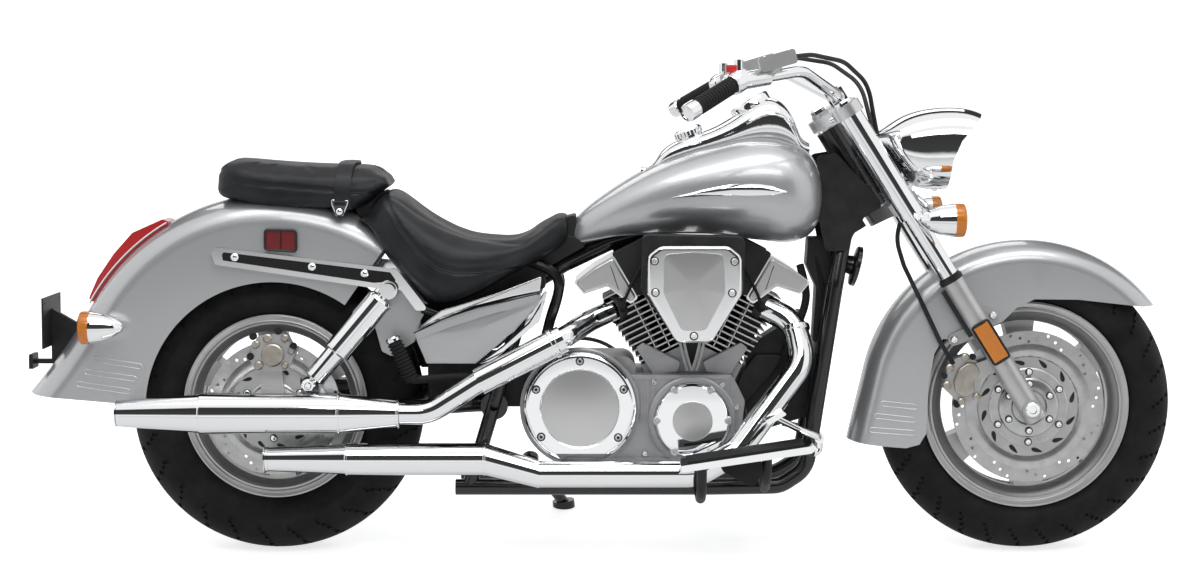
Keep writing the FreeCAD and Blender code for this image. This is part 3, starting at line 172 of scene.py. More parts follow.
FLOOR_HALF = 14.0
pale = bpy.data.materials.new("pale_floor")
pale.use_nodes = True
ground = pale.node_tree
ground.nodes["Principled BSDF"].inputs["Base Color"].default_value = (0.90, 0.90, 0.90, 1)
ground.nodes["Principled BSDF"].inputs["Roughness"].default_value = 0.9
ground.nodes["Principled BSDF"].inputs["Specular IOR Level"].default_value = 0.1
GLOW_LOW, GLOW_HIGH, MIRROR_SHARE = 0.10, 0.72, 0.45
FLOOR_TONE, MIRROR_TONE = 0.90, 0.52
glow = add_node(ground, "ShaderNodeMapRange")
glow.inputs["To Min"].default_value = GLOW_LOW
glow.inputs["To Max"].default_value = GLOW_HIGH
ground_path = add_node(ground, "ShaderNodeLightPath")
mirror_share = add_node(ground, "ShaderNodeMath", operation="MULTIPLY_ADD", use_clamp=True)
ground.links.new(ground_path.outputs["Is Glossy Ray"], mirror_share.inputs[0])
mirror_share.inputs[1].default_value = MIRROR_SHARE
ground.links.new(ground_path.outputs["Is Camera Ray"], mirror_share.inputs[2])
ground.links.new(mirror_share.outputs[0], glow.inputs["Value"])
dimmer = add_node(ground, "ShaderNodeMapRange")
dimmer.inputs["To Min"].default_value = FLOOR_TONE
dimmer.inputs["To Max"].default_value = MIRROR_TONE
ground.links.new(ground_path.outputs["Is Glossy Ray"], dimmer.inputs["Value"])
ground.links.new(dimmer.outputs["Result"], ground.nodes["Principled BSDF"].inputs["Base Color"])
lift = add_node(ground, "ShaderNodeEmission", Color=(1, 1, 1, 1))
ground.links.new(glow.outputs["Result"], lift.inputs["Strength"])
both_lights = add_node(ground, "ShaderNodeAddShader")
ground.links.new(ground.nodes["Principled BSDF"].outputs[0], both_lights.inputs[0])
ground.links.new(lift.outputs[0], both_lights.inputs[1])
ground.links.new(both_lights.outputs[0], ground.nodes["Material Output"].inputs[0])

plate = bmesh.new()
bmesh.ops.create_grid(plate, x_segments=1, y_segments=1, size=FLOOR_HALF)
floor_mesh = bpy.data.meshes.new("floor")
plate.to_mesh(floor_mesh)
plate.free()
floor_mesh.materials.append(pale)
floor = bpy.data.objects.new("floor", floor_mesh)
bpy.context.scene.collection.objects.link(floor)
floor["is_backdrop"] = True
print("floor", FLOOR_HALF * 2, "m")

# %% [markdown]
# Chrome only looks like chrome when it has something dark to show. A studio hangs a tall graded card where
# the metal sees it and the film doesn't. It fades from white near the floor to black at head height and
# back to white far above, which gives the silencers their black stripe and the flat covers a soft grey
# gradient. The cards are hidden from the camera and cast no shadow. Three large soft lamps give the broad
# highlights on the paint.

# %% Lamps and graded cards
def lamp(name, place, target, size, power):
    """A soft rectangular lamp that looks at a point."""
    data = bpy.data.lights.new(name, "AREA")
    data.shape = "RECTANGLE"
    data.size, data.size_y = size
    data.energy = power
    thing = bpy.data.objects.new(name, data)
    thing.location = place
    thing.rotation_euler = (Vector(target) - Vector(place)).to_track_quat("-Z", "Y").to_euler()
    bpy.context.scene.collection.objects.link(thing)
    return thing


lamp("lamp_top", (0.1, -0.6, 3.8), (0, 0, 0.6), (4.2, 1.4), 58)
lamp("lamp_front", (0.5, -3.4, 4.3), (0, 0, 0.5), (3.4, 1.2), 52)
lamp("lamp_back", (-0.3, 3.6, 2.6), (0, 0, 0.6), (4.0, 1.4), 34)

CARD_FROM, CARD_TO = 0.9, 10.0
GRADES = [(0.9, 0.90), (1.15, 0.76), (1.40, 0.36), (1.60, 0.05), (7.6, 0.03), (8.8, 0.90), (10.0, 1.0)]

graded = bpy.data.materials.new("graded_card")
graded.use_nodes = True
tree = graded.node_tree
tree.nodes.clear()
where = add_node(tree, "ShaderNodeTexCoord")
apart = add_node(tree, "ShaderNodeSeparateXYZ")
share = add_node(tree, "ShaderNodeMapRange")
share.inputs["From Min"].default_value = CARD_FROM
share.inputs["From Max"].default_value = CARD_TO
ramp = add_node(tree, "ShaderNodeValToRGB")
while len(ramp.color_ramp.elements) < len(GRADES):
    ramp.color_ramp.elements.new(0.5)
for stop, (height, value) in zip(ramp.color_ramp.elements, GRADES):
    stop.position = (height - CARD_FROM) / (CARD_TO - CARD_FROM)
    stop.color = (value, value, value, 1)
bright = add_node(tree, "ShaderNodeEmission", Strength=1.0)
out = add_node(tree, "ShaderNodeOutputMaterial")
tree.links.new(where.outputs["Object"], apart.inputs[0])
tree.links.new(apart.outputs["Z"], share.inputs["Value"])
tree.links.new(share.outputs["Result"], ramp.inputs[0])
tree.links.new(ramp.outputs[0], bright.inputs["Color"])
tree.links.new(bright.outputs[0], out.inputs[0])

CARD_HALF = 6.5
for name, y in (("card_front", -6.4), ("card_back", 6.4)):
    sheet = bmesh.new()
    corners = [(-CARD_HALF, y, CARD_FROM), (CARD_HALF, y, CARD_FROM),
               (CARD_HALF, y, CARD_TO), (-CARD_HALF, y, CARD_TO)]
    sheet.faces.new([sheet.verts.new(c) for c in corners])
    card_mesh = bpy.data.meshes.new(name)
    sheet.to_mesh(card_mesh)
    sheet.free()
    card_mesh.materials.append(graded)
    card = bpy.data.objects.new(name, card_mesh)
    bpy.context.scene.collection.objects.link(card)
    card.visible_camera = False
    card.visible_diffuse = False
    card.visible_shadow = False
    card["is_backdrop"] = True
print("lamps 3, cards 2, grades", len(GRADES))

# %% [markdown]
# A finish starts from Blender's Principled shader. Numbers that are the same all over are set on its own
# sockets. What varies, such as grain or brushing, comes from noise that reads Object coordinates, which
# here are metres of the parked machine, so a scale of 1000 means millimetre-sized grain on every piece
# alike.

# %% A finish with a few plain numbers
finishes = {}


def finish(name, color, rough, metal=0.0, **more):
    """A new Principled finish. The other settings are named as the shader's sockets."""
    made = bpy.data.materials.new(name)
    made.use_nodes = True
    shader = made.node_tree.nodes["Principled BSDF"]
    shader.inputs["Base Color"].default_value = (*color, 1)
    shader.inputs["Roughness"].default_value = rough
    shader.inputs["Metallic"].default_value = metal
    for key, value in more.items():
        shader.inputs[key.replace("_", " ")].default_value = value
    finishes[name] = made
    return made


def place_of(tree, center=(0, 0, 0), turn=(0, 0, 0), scale=(1, 1, 1)):
    """Object coordinates, centred and turned for this finish."""
    where = add_node(tree, "ShaderNodeTexCoord")
    mapping = add_node(tree, "ShaderNodeMapping")
    mapping.vector_type = "TEXTURE"
    mapping.inputs["Location"].default_value = center
    mapping.inputs["Rotation"].default_value = turn
    mapping.inputs["Scale"].default_value = scale
    tree.links.new(where.outputs["Object"], mapping.inputs["Vector"])
    return mapping.outputs["Vector"]


def noise(tree, vector, scale, detail=2.0, roughness=0.5):
    """A noise texture's value, read at a place."""
    grain = add_node(tree, "ShaderNodeTexNoise", Scale=scale, Detail=detail, Roughness=roughness)
    tree.links.new(vector, grain.inputs["Vector"])
    return grain.outputs[0]


def between(tree, value, low, high):
    """Stretch a 0 to 1 value between two numbers."""
    span = add_node(tree, "ShaderNodeMapRange")
    tree.links.new(value, span.inputs["Value"])
    span.inputs["To Min"].default_value = low
    span.inputs["To Max"].default_value = high
    return span.outputs["Result"]


def tint(tree, value, dark, light, low=0.3, high=0.7):
    """A colour that runs from dark to light as a value rises."""
    ramp = add_node(tree, "ShaderNodeValToRGB")
    ramp.color_ramp.elements[0].position = low
    ramp.color_ramp.elements[0].color = (*dark, 1)
    ramp.color_ramp.elements[1].position = high
    ramp.color_ramp.elements[1].color = (*light, 1)
    tree.links.new(value, ramp.inputs[0])
    return ramp.outputs[0]


def bumped(made, height, depth, strength=1.0):
    """Raise and sink the surface by a height texture, depth in metres."""
    tree = made.node_tree
    bump = add_node(tree, "ShaderNodeBump", Strength=strength, Distance=depth)
    tree.links.new(height, bump.inputs["Height"])
    tree.links.new(bump.outputs[0], tree.nodes["Principled BSDF"].inputs["Normal"])
    return bump


def feed(made, socket, value):
    """Join a texture's output to one of the shader's inputs."""
    made.node_tree.links.new(value, made.node_tree.nodes["Principled BSDF"].inputs[socket])


print("finishes so far", len(finishes))

# %% [markdown]
# Most finishes vary in the same three ways: a colour that runs between two tones, a roughness between two
# numbers and a fine bump. Each is driven by a noise of its own scale and detail, and one function feeds
# them in.

# %% Noise in colour, roughness and bump
def vary(made, tone=None, rough=None, bump=None, spot=None):
    """Let noise drive a finish. Each entry holds the noise's scale and detail, then what it runs between."""
    tree = made.node_tree
    if spot is None:
        spot = place_of(tree)
    if tone:
        grain, dark, light = tone
        feed(made, "Base Color", tint(tree, noise(tree, spot, *grain), dark, light))
    if rough:
        grain, low, high = rough
        feed(made, "Roughness", between(tree, noise(tree, spot, *grain), low, high))
    if bump:
        grain, depth, strength = bump
        bumped(made, noise(tree, spot, *grain), depth, strength)
    return made


print("noise drives colour, roughness and bump")

# %% [markdown]
# The tank, fenders and side covers carry a silver metallic paint under a clear coat. The flakes are under a
# millimetre, so they show as a faint sparkle in the colour and the roughness, and the smooth coat over them
# carries the sharp reflections of the lamps.

# %% Silver paint
FLAKE = (2600, 1.0)
paint = finish("silver_paint", (0.50, 0.51, 0.52), 0.36, 0.64, Coat_Weight=1.0, Coat_Roughness=0.035)
vary(paint, (FLAKE, (0.43, 0.44, 0.45), (0.56, 0.57, 0.58)), ((1900, 1.0), 0.30, 0.43),
     (FLAKE, 0.00002, 0.35))
print("paint", paint.name)

# %% [markdown]
# Chrome plate is nearly a mirror. Real plate has faint buffing haze and a little waviness that bends the
# edges of its reflections, most on long tubes. Satin is for machined covers whose middle is brushed, so its
# noise is drawn out along the machine. The dull cast aluminium of the fork and the wheels is lighter than
# the crankcase's grey.

# %% Chrome, satin and cast metals
chrome = finish("chrome", (0.86, 0.87, 0.88), 0.05, 1.0)
vary(chrome, rough=((9, 3.0), 0.025, 0.085), bump=((14, 1.0), 0.0012, 0.10))

BRUSH = (900, 3.0)
satin = finish("satin_aluminium", (0.66, 0.66, 0.66), 0.33, 1.0)
vary(satin, (BRUSH, (0.60, 0.60, 0.60), (0.72, 0.72, 0.725)), (BRUSH, 0.27, 0.42), (BRUSH, 0.00003, 0.5),
     place_of(satin.node_tree, scale=(0.03, 1, 1)))

SAND = (700, 4.0, 0.6)
cast = finish("cast_aluminium", (0.52, 0.52, 0.52), 0.42, 0.92, Coat_Weight=0.25, Coat_Roughness=0.2)
vary(cast, ((14, 2.0), (0.48, 0.48, 0.48), (0.57, 0.57, 0.57)), (SAND, 0.36, 0.50), (SAND, 0.00008, 0.4))

COARSE_SAND = (520, 4.0, 0.6)
grey = finish("cast_grey", (0.39, 0.39, 0.395), 0.46, 0.6)
vary(grey, ((20, 3.0), (0.35, 0.35, 0.355), (0.45, 0.45, 0.455)), (COARSE_SAND, 0.40, 0.56),
     (COARSE_SAND, 0.00012, 0.5))
print("metals", [made.name for made in (chrome, satin, cast, grey)])

# %% [markdown]
# Brake discs are turned on a lathe and then rubbed by the pads, which leaves fine rings round the axle. The
# rings come from a wave texture that is centred on each axle by a Mapping node and turned to lie in the
# leaning wheel's plane.

# %% Turned steel discs
def turned_steel(name, axle):
    """Bare steel with fine rings round an axle."""
    made = finish(name, (0.52, 0.52, 0.52), 0.28, 1.0)
    tree = made.node_tree
    spot = place_of(tree, center=PARK @ axle, turn=(-LEAN, 0, 0))
    rings = add_node(tree, "ShaderNodeTexWave", wave_type="RINGS", rings_direction="Y", Scale=420.0,
                     Distortion=0.6, Detail=2.0)
    tree.links.new(spot, rings.inputs["Vector"])
    feed(made, "Roughness", between(tree, rings.outputs[1], 0.22, 0.38))
    feed(made, "Base Color", tint(tree, noise(tree, spot, 40, 3.0), (0.46, 0.46, 0.462), (0.57, 0.57, 0.57)))
    bumped(made, rings.outputs[1], 0.00002, 0.6)
    return made


front_steel = turned_steel("front_disc_steel", FRONT_AXLE)
rear_steel = turned_steel("rear_disc_steel", REAR_AXLE)
print("disc steels", front_steel.name, rear_steel.name)

# %% [markdown]
# The dark finishes: gloss paint on the frame tubes, a wrinkled heat-proof black on the cylinders, moulded
# plastic, and rubber. Each is a slightly different black, because pure black has no shape: dust and
# handling lift the flat faces, and the noise carries that.

# %% Blacks and rubbers
frame_black = finish("frame_black", (0.008, 0.008, 0.009), 0.2, 0.0, Coat_Weight=0.25, Coat_Roughness=0.1)
vary(frame_black, rough=((60, 4.0), 0.14, 0.30), bump=((260, 2.0), 0.0001, 0.15))

WRINKLE = (900, 4.0, 0.65)
heat_black = finish("heat_black", (0.014, 0.014, 0.014), 0.5, 0.0, Specular_IOR_Level=0.35)
vary(heat_black, ((30, 3.0), (0.012, 0.012, 0.012), (0.030, 0.030, 0.031)), (WRINKLE, 0.38, 0.62),
     (WRINKLE, 0.00015, 0.6))

PEBBLE = (1500, 2.0)
plastic = finish("moulded_black", (0.015, 0.015, 0.016), 0.42, 0.0, Specular_IOR_Level=0.3)
vary(plastic, ((25, 3.0), (0.011, 0.011, 0.012), (0.023, 0.023, 0.024)), (PEBBLE, 0.34, 0.52),
     (PEBBLE, 0.00005, 0.5))

tyre_black = finish("tyre_rubber", (0.011, 0.011, 0.011), 0.62, 0.0, Specular_IOR_Level=0.16)
vary(tyre_black, ((16, 5.0, 0.6), (0.006, 0.006, 0.006), (0.016, 0.0157, 0.0155)), ((380, 3.0), 0.52, 0.74),
     ((1400, 3.0), 0.00012, 0.5))

grip_rubber = finish("grip_rubber", (0.014, 0.014, 0.014), 0.7, 0.0, Specular_IOR_Level=0.2)
vary(grip_rubber, rough=((500, 3.0), 0.55, 0.8), bump=((1800, 2.0), 0.0001, 0.4))
print("blacks", [made.name for made in (frame_black, heat_black, plastic, tyre_black, grip_rubber)])

# %% [markdown]
# The seats are a smooth black vinyl with a fine leather grain. A texture of small cells gives the pebbles,
# and a finer noise breaks them up. Broad noise in the roughness is the sheen left by polishing.

# %% Leather of the seats
leather = finish("seat_leather", (0.017, 0.018, 0.020), 0.42, 0.0, Specular_IOR_Level=0.26)
tree = leather.node_tree
spot = place_of(tree)
cells = add_node(tree, "ShaderNodeTexVoronoi", feature="F1", Scale=760.0)
tree.links.new(spot, cells.inputs["Vector"])
vary(leather, ((18, 4.0), (0.009, 0.0095, 0.011), (0.020, 0.021, 0.023)), ((35, 4.0), 0.33, 0.47))
blend = add_node(tree, "ShaderNodeMath", operation="ADD")
tree.links.new(cells.outputs["Distance"], blend.inputs[0])
tree.links.new(noise(tree, spot, 2200, 2.0), blend.inputs[1])
bumped(leather, blend.outputs[0], 0.00022, 0.45)
print("leather", leather.name)

# %% [markdown]
# Lenses are coloured plastic over a bright reflector. They let some light through, so a real lens glows a
# little at its edges. A fine ribbed bump stands for the optic pattern moulded inside the lens.

# %% Lenses and lacquers
def lens(name, color, deep, size=260.0):
    """A moulded lens with a fine optic pattern inside."""
    made = finish(name, color, 0.12, 0.0, Coat_Weight=0.3, Coat_Roughness=0.02, Transmission_Weight=0.2)
    tree = made.node_tree
    spot = place_of(tree)
    optic = add_node(tree, "ShaderNodeTexWave", wave_type="BANDS", bands_direction="X", Scale=size)
    tree.links.new(spot, optic.inputs["Vector"])
    feed(made, "Base Color", tint(tree, optic.outputs[1], deep, color, 0.0, 0.9))
    bumped(made, optic.outputs[1], 0.0004, 0.35)
    return made


amber = lens("amber_lens", (0.92, 0.31, 0.004), (0.54, 0.125, 0.0))
ruby = lens("red_lens", (0.78, 0.028, 0.032), (0.38, 0.006, 0.008), 150.0)
reflector = lens("dark_red_reflector", (0.28, 0.006, 0.010), (0.10, 0.001, 0.002), 420.0)
clear = finish("clear_glass", (0.93, 0.95, 0.96), 0.02, 0.0, Coat_Weight=1.0, Transmission_Weight=0.6)
vary(clear, rough=((30, 2.0), 0.01, 0.05))
switch_red = finish("switch_red", (0.60, 0.02, 0.02), 0.35)
vary(switch_red, rough=((300, 2.0), 0.28, 0.42))
gold = finish("plated_gold", (0.50, 0.45, 0.39), 0.38, 1.0)
vary(gold, ((60, 3.0), (0.42, 0.385, 0.33), (0.56, 0.52, 0.46)))
print("finishes", len(finishes))

# %% [markdown]
# Each solid now gets the finish of the real part. The solids came in as loose triangles, so light would
# show every facet. A small geometry-nodes modifier merges the points and shades the faces smooth, except
# across edges that turn by more than thirty degrees, and it leaves the mesh underneath untouched.

# %% Smooth shading that keeps the crisp edges
SMOOTH_ANGLE = math.radians(30)

smoother = bpy.data.node_groups.new("smooth_keep_edges", "GeometryNodeTree")
smoother.interface.new_socket("Geometry", in_out="INPUT", socket_type="NodeSocketGeometry")
smoother.interface.new_socket("Geometry", in_out="OUTPUT", socket_type="NodeSocketGeometry")
group_in = smoother.nodes.new("NodeGroupInput")
group_out = smoother.nodes.new("NodeGroupOutput")
merge = smoother.nodes.new("GeometryNodeMergeByDistance")
merge.inputs["Distance"].default_value = 0.00001
shade_faces = smoother.nodes.new("GeometryNodeSetShadeSmooth")
shade_edges = smoother.nodes.new("GeometryNodeSetShadeSmooth")
shade_edges.domain = "EDGE"
edge_turn = smoother.nodes.new("GeometryNodeInputMeshEdgeAngle")
gentle = smoother.nodes.new("FunctionNodeCompare")
gentle.operation = "LESS_THAN"
gentle.inputs["B"].default_value = SMOOTH_ANGLE
links = smoother.links
links.new(group_in.outputs[0], merge.inputs["Geometry"])
links.new(merge.outputs[0], shade_faces.inputs["Geometry"])
links.new(shade_faces.outputs[0], shade_edges.inputs["Geometry"])
links.new(edge_turn.outputs["Unsigned Angle"], gentle.inputs["A"])
links.new(gentle.outputs[0], shade_edges.inputs["Shade Smooth"])
links.new(shade_edges.outputs[0], group_out.inputs[0])

for solid in nodes.values():
    modifier = solid.modifiers.new("smooth", "NODES")
    modifier.node_group = smoother
print("smooth shading on", len(nodes), "solids")

# %% [markdown]
# The table below says what each node is made of on the real machine. A node that a finer piece will replace
# is still listed, so that nothing shows an undressed grey if the piece is taken away.

# %% Finishes of the solids
WEARS = {
    paint: ("fuel_tank", "rear_fender", "front_fender", "side_covers"),
    chrome: ("tank_console", "fender_rails", "rear_signals", "rear_shocks", "fork_covers",
             "handlebar", "headlight", "front_signals", "exhaust_rear", "exhaust_front", "rocker_covers",
             "air_cleaner", "floorboards"),
    satin: ("engine_covers", "fork_yokes"),
    cast: ("front_rim", "rear_rim", "fork_lowers", "bar_controls", "front_caliper", "rear_caliper"),
    grey: ("engine_case",),
    frame_black: ("frame_cradle", "frame_upper", "swingarm", "side_stand"),
    heat_black: ("cylinders", "radiator"),
    plastic: ("neck_cover", "plate_bracket", "control_cables"),
    tyre_black: ("front_tyre", "rear_tyre"),
    grip_rubber: ("grips", "pillion_pegs"),
    leather: ("rider_seat", "pillion_seat"),
    front_steel: ("front_disc",),
    rear_steel: ("rear_disc",),
    ruby: ("rear_lenses",),
    amber: ("front_lenses",),
}
for wear, names in WEARS.items():
    for name in names:
        solid = nodes[name].data
        solid.materials.clear()
        solid.materials.append(wear)
        solid.polygons.foreach_set("material_index", [0] * len(solid.polygons))


def two_tone(name, second, chosen):
    """Give the faces of a solid that pass a test, on their middle in the machine's frame, a second finish."""
    solid = nodes[name].data
    solid.materials.append(second)
    turn = UNPARK @ nodes[name].matrix_world
    flags = [int(chosen(turn @ face.center)) for face in solid.polygons]
    solid.polygons.foreach_set("material_index", flags)
    print(name, "second finish on", sum(flags), "of", len(flags), "faces")


LAMP = fork(170.7, 0, 588)
SIGNAL = fork(127.3, -190, 443)
GRIP_INNER = fork(-135.1, -330, 957.2)
GRIP_END = GRIP_INNER + Vector((-100, -110, -60))
two_tone("front_lenses", clear, lambda p: abs(p.y) < 85)
two_tone("bar_controls", chrome, lambda p: not (p.x > GRIP_INNER.x + 43 and p.z > GRIP_INNER.z + 17))
two_tone("rear_lenses", reflector, lambda p: p.x > -100)
two_tone("floorboards", plastic, lambda p: p.z < 212 + (p.x - 892) * 0.15 and p.x < 1185)
left = sorted(set(nodes) - {name for names in WEARS.values() for name in names})
print("dressed", len(nodes) - len(left), "left", left)

# %% [markdown]
# New pieces are shaped with bmesh operators on the upright machine and then pass through one function. It
# closes doubled points, turns the faces outward, applies the parking matrix, shades the mesh smooth between
# crisp edges and hangs the piece on its moving body.

# %% How a finished mesh joins the machine
def settle(name, shape, wear, body, sharp=32, stands_for=()):
    """Make an object of a bmesh drawn in the machine's millimetres."""
    bmesh.ops.remove_doubles(shape, verts=shape.verts, dist=0.002)
    bmesh.ops.recalc_face_normals(shape, faces=shape.faces)
    mesh = bpy.data.meshes.new(name)
    shape.to_mesh(mesh)
    shape.free()
    mesh.transform(PARK)
    for layer in (wear if isinstance(wear, (list, tuple)) else [wear]):
        mesh.materials.append(layer)
    mesh.shade_smooth()
    mesh.set_sharp_from_angle(angle=math.radians(sharp))
    made = bpy.data.objects.new(name, mesh)
    bpy.context.scene.collection.objects.link(made)
    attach(made, body)
    if stands_for:
        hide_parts(*stands_for)
    print(name, "faces", len(mesh.polygons))
    return made


def empty_shapes(count):
    """Several empty meshes, for pieces that are drawn in one loop."""
    return [bmesh.new() for _ in range(count)]


def lathe(shape, profile, center, axis=(0, 1, 0), steps=48, arc=360):
    """Turn a line of (along, radius) points round an axis through center."""
    axis = Vector(axis).normalized()
    side = Vector((0, 0, 1)) if abs(axis.z) < 0.7 else Vector((1, 0, 0))
    side = (side - axis * side.dot(axis)).normalized()
    center = Vector(center)
    line = [shape.verts.new(center + axis * a + side * r) for a, r in profile]
    edges = [shape.edges.new(pair) for pair in zip(line, line[1:])]
    made = bmesh.ops.spin(shape, geom=line + edges, cent=center, axis=axis, angle=math.radians(arc),
                          steps=steps, use_merge=arc == 360)
    bmesh.ops.remove_doubles(shape, verts=shape.verts, dist=0.001)
    return made


print("pieces lean by", round(math.degrees(LEAN)), "degrees")

# %% [markdown]
# A tyre is a lathe job: one half-section, spun round the axle. The tread blocks come from the spun faces
# themselves. Where a groove runs, the faces are inset a little and their floor is pushed in, so the groove
# has real walls. A round groove lies on each side of the plain centre rib, and slanted cuts run out from it
# over the shoulder; the rear tyre has fewer of them. The sidewall keeps a raised rim-guard ring.

# %% Tyres with cut tread
TREAD_ROWS = 14
CELLS_A_PITCH = 8
GROOVE_FROM, GROOVE_TO, CUTS_FROM = 0.10, 0.17, 0.20
CUT_SLANT, SHOULDER_SLANT, OTHER_SIDE = 2.6, 0.09, 4
CUT_WALL, CUT_DEPTH = 0.5, 3.4


def tyre(name, axle, outer, width, crown, bead, bead_half, pitches, node, body):
    """Spin a tyre's section and press slanted grooves into the tread."""
    shoulder_y = width * 0.42
    shoulder = outer - (crown - math.sqrt(crown ** 2 - shoulder_y ** 2))
    tall = shoulder - bead
    tread = []
    for i in range(TREAD_ROWS + 1):
        y = shoulder_y * (1 - i / TREAD_ROWS)
        tread.append((y, outer - (crown - math.sqrt(crown ** 2 - y ** 2))))
    wall = [(bead_half, bead), (bead_half + 1, bead + 13), (bead_half + 5, bead + 16),
            (width * 0.455, bead + tall * 0.30), (width * 0.482, bead + tall * 0.42),
            (width * 0.490, bead + tall * 0.50), (width * 0.500, bead + tall * 0.53),
            (width * 0.500, bead + tall * 0.60), (width * 0.492, bead + tall * 0.63),
            (width * 0.487, bead + tall * 0.72), (width * 0.480, bead + tall * 0.79),
            (width * 0.468, bead + tall * 0.86), (width * 0.448, bead + tall * 0.93)]
    half = wall + tread
    section = half + [(-y, r) for y, r in reversed(half[:-1])]
    steps = pitches * CELLS_A_PITCH
    shape = bmesh.new()
    lathe(shape, section, axle, steps=steps)
    shape.faces.ensure_lookup_table()
    cut = []
    for face in shape.faces:
        middle = face.calc_center_median() - axle
        radius = math.hypot(middle.x, middle.z)
        if radius < bead + tall * 0.73:
            continue
        y = middle.y
        turn = (math.atan2(middle.z, middle.x) / (2 * math.pi)) % 1.0
        row = abs(y) / shoulder_y
        low = max(0.0, shoulder - radius)
        lead = (row * CUT_SLANT + low * SHOULDER_SLANT) + (0 if y > 0 else OTHER_SIDE)
        column = (turn * steps + lead) % CELLS_A_PITCH
        if GROOVE_FROM < row < GROOVE_TO or (row > CUTS_FROM and column < 1.0):
            cut.append(face)
    bmesh.ops.inset_region(shape, faces=cut, thickness=CUT_WALL, depth=0, use_even_offset=True)
    bmesh.ops.recalc_face_normals(shape, faces=shape.faces)
    shape.normal_update()
    sinks = {}
    for face in cut:
        for v in face.verts:
            sinks[v] = sinks.get(v, Vector()) - face.normal
    for v, way in sinks.items():
        v.co += way.normalized() * CUT_DEPTH
    return settle(name, shape, tyre_black, body, sharp=38, stands_for=(node,))


tyre("tyre_front", FRONT_AXLE, 328, 140, 80, 217, 46, 30, "front_tyre", "front_wheel")
tyre("tyre_rear", REAR_AXLE, 326.5, 170, 95, 191.5, 60, 26, "rear_tyre", "rear_wheel")

# %% [markdown]
# A seat is foam under stretched vinyl. Its solid gives the place and the outline, and the foam's swell
# comes from a short cloth simulation: the surface is remeshed into even cells, blown up a little from
# inside, and no point may move more than a cap. The underside stays where it rests on the fender. The
# rider's dish and the sewn seams are pressed in afterwards, because the remesh would wipe out anything
# narrower than a cell.

# %% Blow up a padded form from its solid
SEAT_CELL = 0.0055
SWELL_CAP = 0.006
SEAT_PRESSURE = 4
STEPS = 20


def foam(name, node, shrink):
    """The node's form as an even mesh, a little slack, swollen by a cloth simulation. In upright metres."""
    body = bmesh.new()
    body.from_mesh(nodes[node].data)
    bmesh.ops.remove_doubles(body, verts=body.verts, dist=0.00002)
    bmesh.ops.transform(body, matrix=Matrix.Scale(MM, 4) @ UNPARK, verts=body.verts)
    mesh = bpy.data.meshes.new(name)
    body.to_mesh(mesh)
    body.free()
    pad = bpy.data.objects.new(name, mesh)
    bpy.context.scene.collection.objects.link(pad)
    remesh = pad.modifiers.new("even", "REMESH")
    remesh.mode = "VOXEL"
    remesh.voxel_size = SEAT_CELL
    soften = pad.modifiers.new("soften", "SMOOTH")
    soften.factor = 0.5
    soften.iterations = 4
    bpy.context.view_layer.update()
    even = bpy.data.meshes.new_from_object(pad.evaluated_get(bpy.context.evaluated_depsgraph_get()))
    pad.modifiers.clear()
    pad.data = even
    rest = [v.co.copy() for v in even.vertices]
    facing = [v.normal.copy() for v in even.vertices]
    for v, n in zip(even.vertices, facing):
        v.co -= n * shrink
    cloth = pad.modifiers.new("swell", "CLOTH")
    cloth.settings.use_pressure = True
    cloth.settings.uniform_pressure_force = SEAT_PRESSURE
    cloth.settings.effector_weights.gravity = 0
    cloth.settings.quality = 4
    cloth.collision_settings.use_collision = False
    cloth.collision_settings.use_self_collision = False
    cloth.point_cache.frame_start = 1
    cloth.point_cache.frame_end = STEPS
    for step in range(1, STEPS + 1):
        bpy.context.scene.frame_set(step)
    blown = pad.evaluated_get(bpy.context.evaluated_depsgraph_get()).data
    swollen = [v.co.copy() for v in blown.vertices]
    pad.modifiers.clear()
    bpy.context.scene.frame_set(1)
    for v, start, moved, n in zip(even.vertices, rest, swollen, facing):
        move = moved - start
        if move.length > SWELL_CAP:
            move *= SWELL_CAP / move.length
        free = min(1.0, max(0.0, (n.z + 0.25) / 0.35))
        v.co = start + move * free
    return pad


print("cell", SEAT_CELL / MM, "mm, swell up to", SWELL_CAP / MM, "mm")

# %% [markdown]
# A sewn seam is a narrow valley with a thread line in it. The seam's path is drawn in side view; every
# point of the pad near that path, on the outer sides, sinks towards the inside, deepest on the path itself.
# The valley has a soft shoulder, because the foam bulges on both sides of the stitch.

# %% Press seams and the dish into the foam
def near_path(x, z, path):
    """Distance in side view from a point to a line of points."""
    best = 1e9
    for (ax, az), (bx, bz) in zip(path, path[1:]):
        dx, dz = bx - ax, bz - az
        along = max(0.0, min(1.0, ((x - ax) * dx + (z - az) * dz) / (dx * dx + dz * dz)))
        best = min(best, math.hypot(x - ax - along * dx, z - az - along * dz))
    return best


def smooth_step(value, low, high):
    """A gentle rise from 0 to 1 between two numbers."""
    share = max(0.0, min(1.0, (value - low) / (high - low)))
    return share * share * (3 - 2 * share)


def sew(pad, path, depth, half, side_from):
    """Sink the pad's sides along a seam."""
    for v in pad.data.vertices:
        x, y, z = v.co / MM
        if abs(y) < side_from:
            continue
        away = near_path(x, z, path)
        if away > half * 3:
            continue
        shoulder = 0.30 * math.exp(-((away - half * 1.6) / half) ** 2)
        valley = depth * (1 - smooth_step(away, 0, half)) - depth * shoulder
        v.co -= v.normal * valley * MM


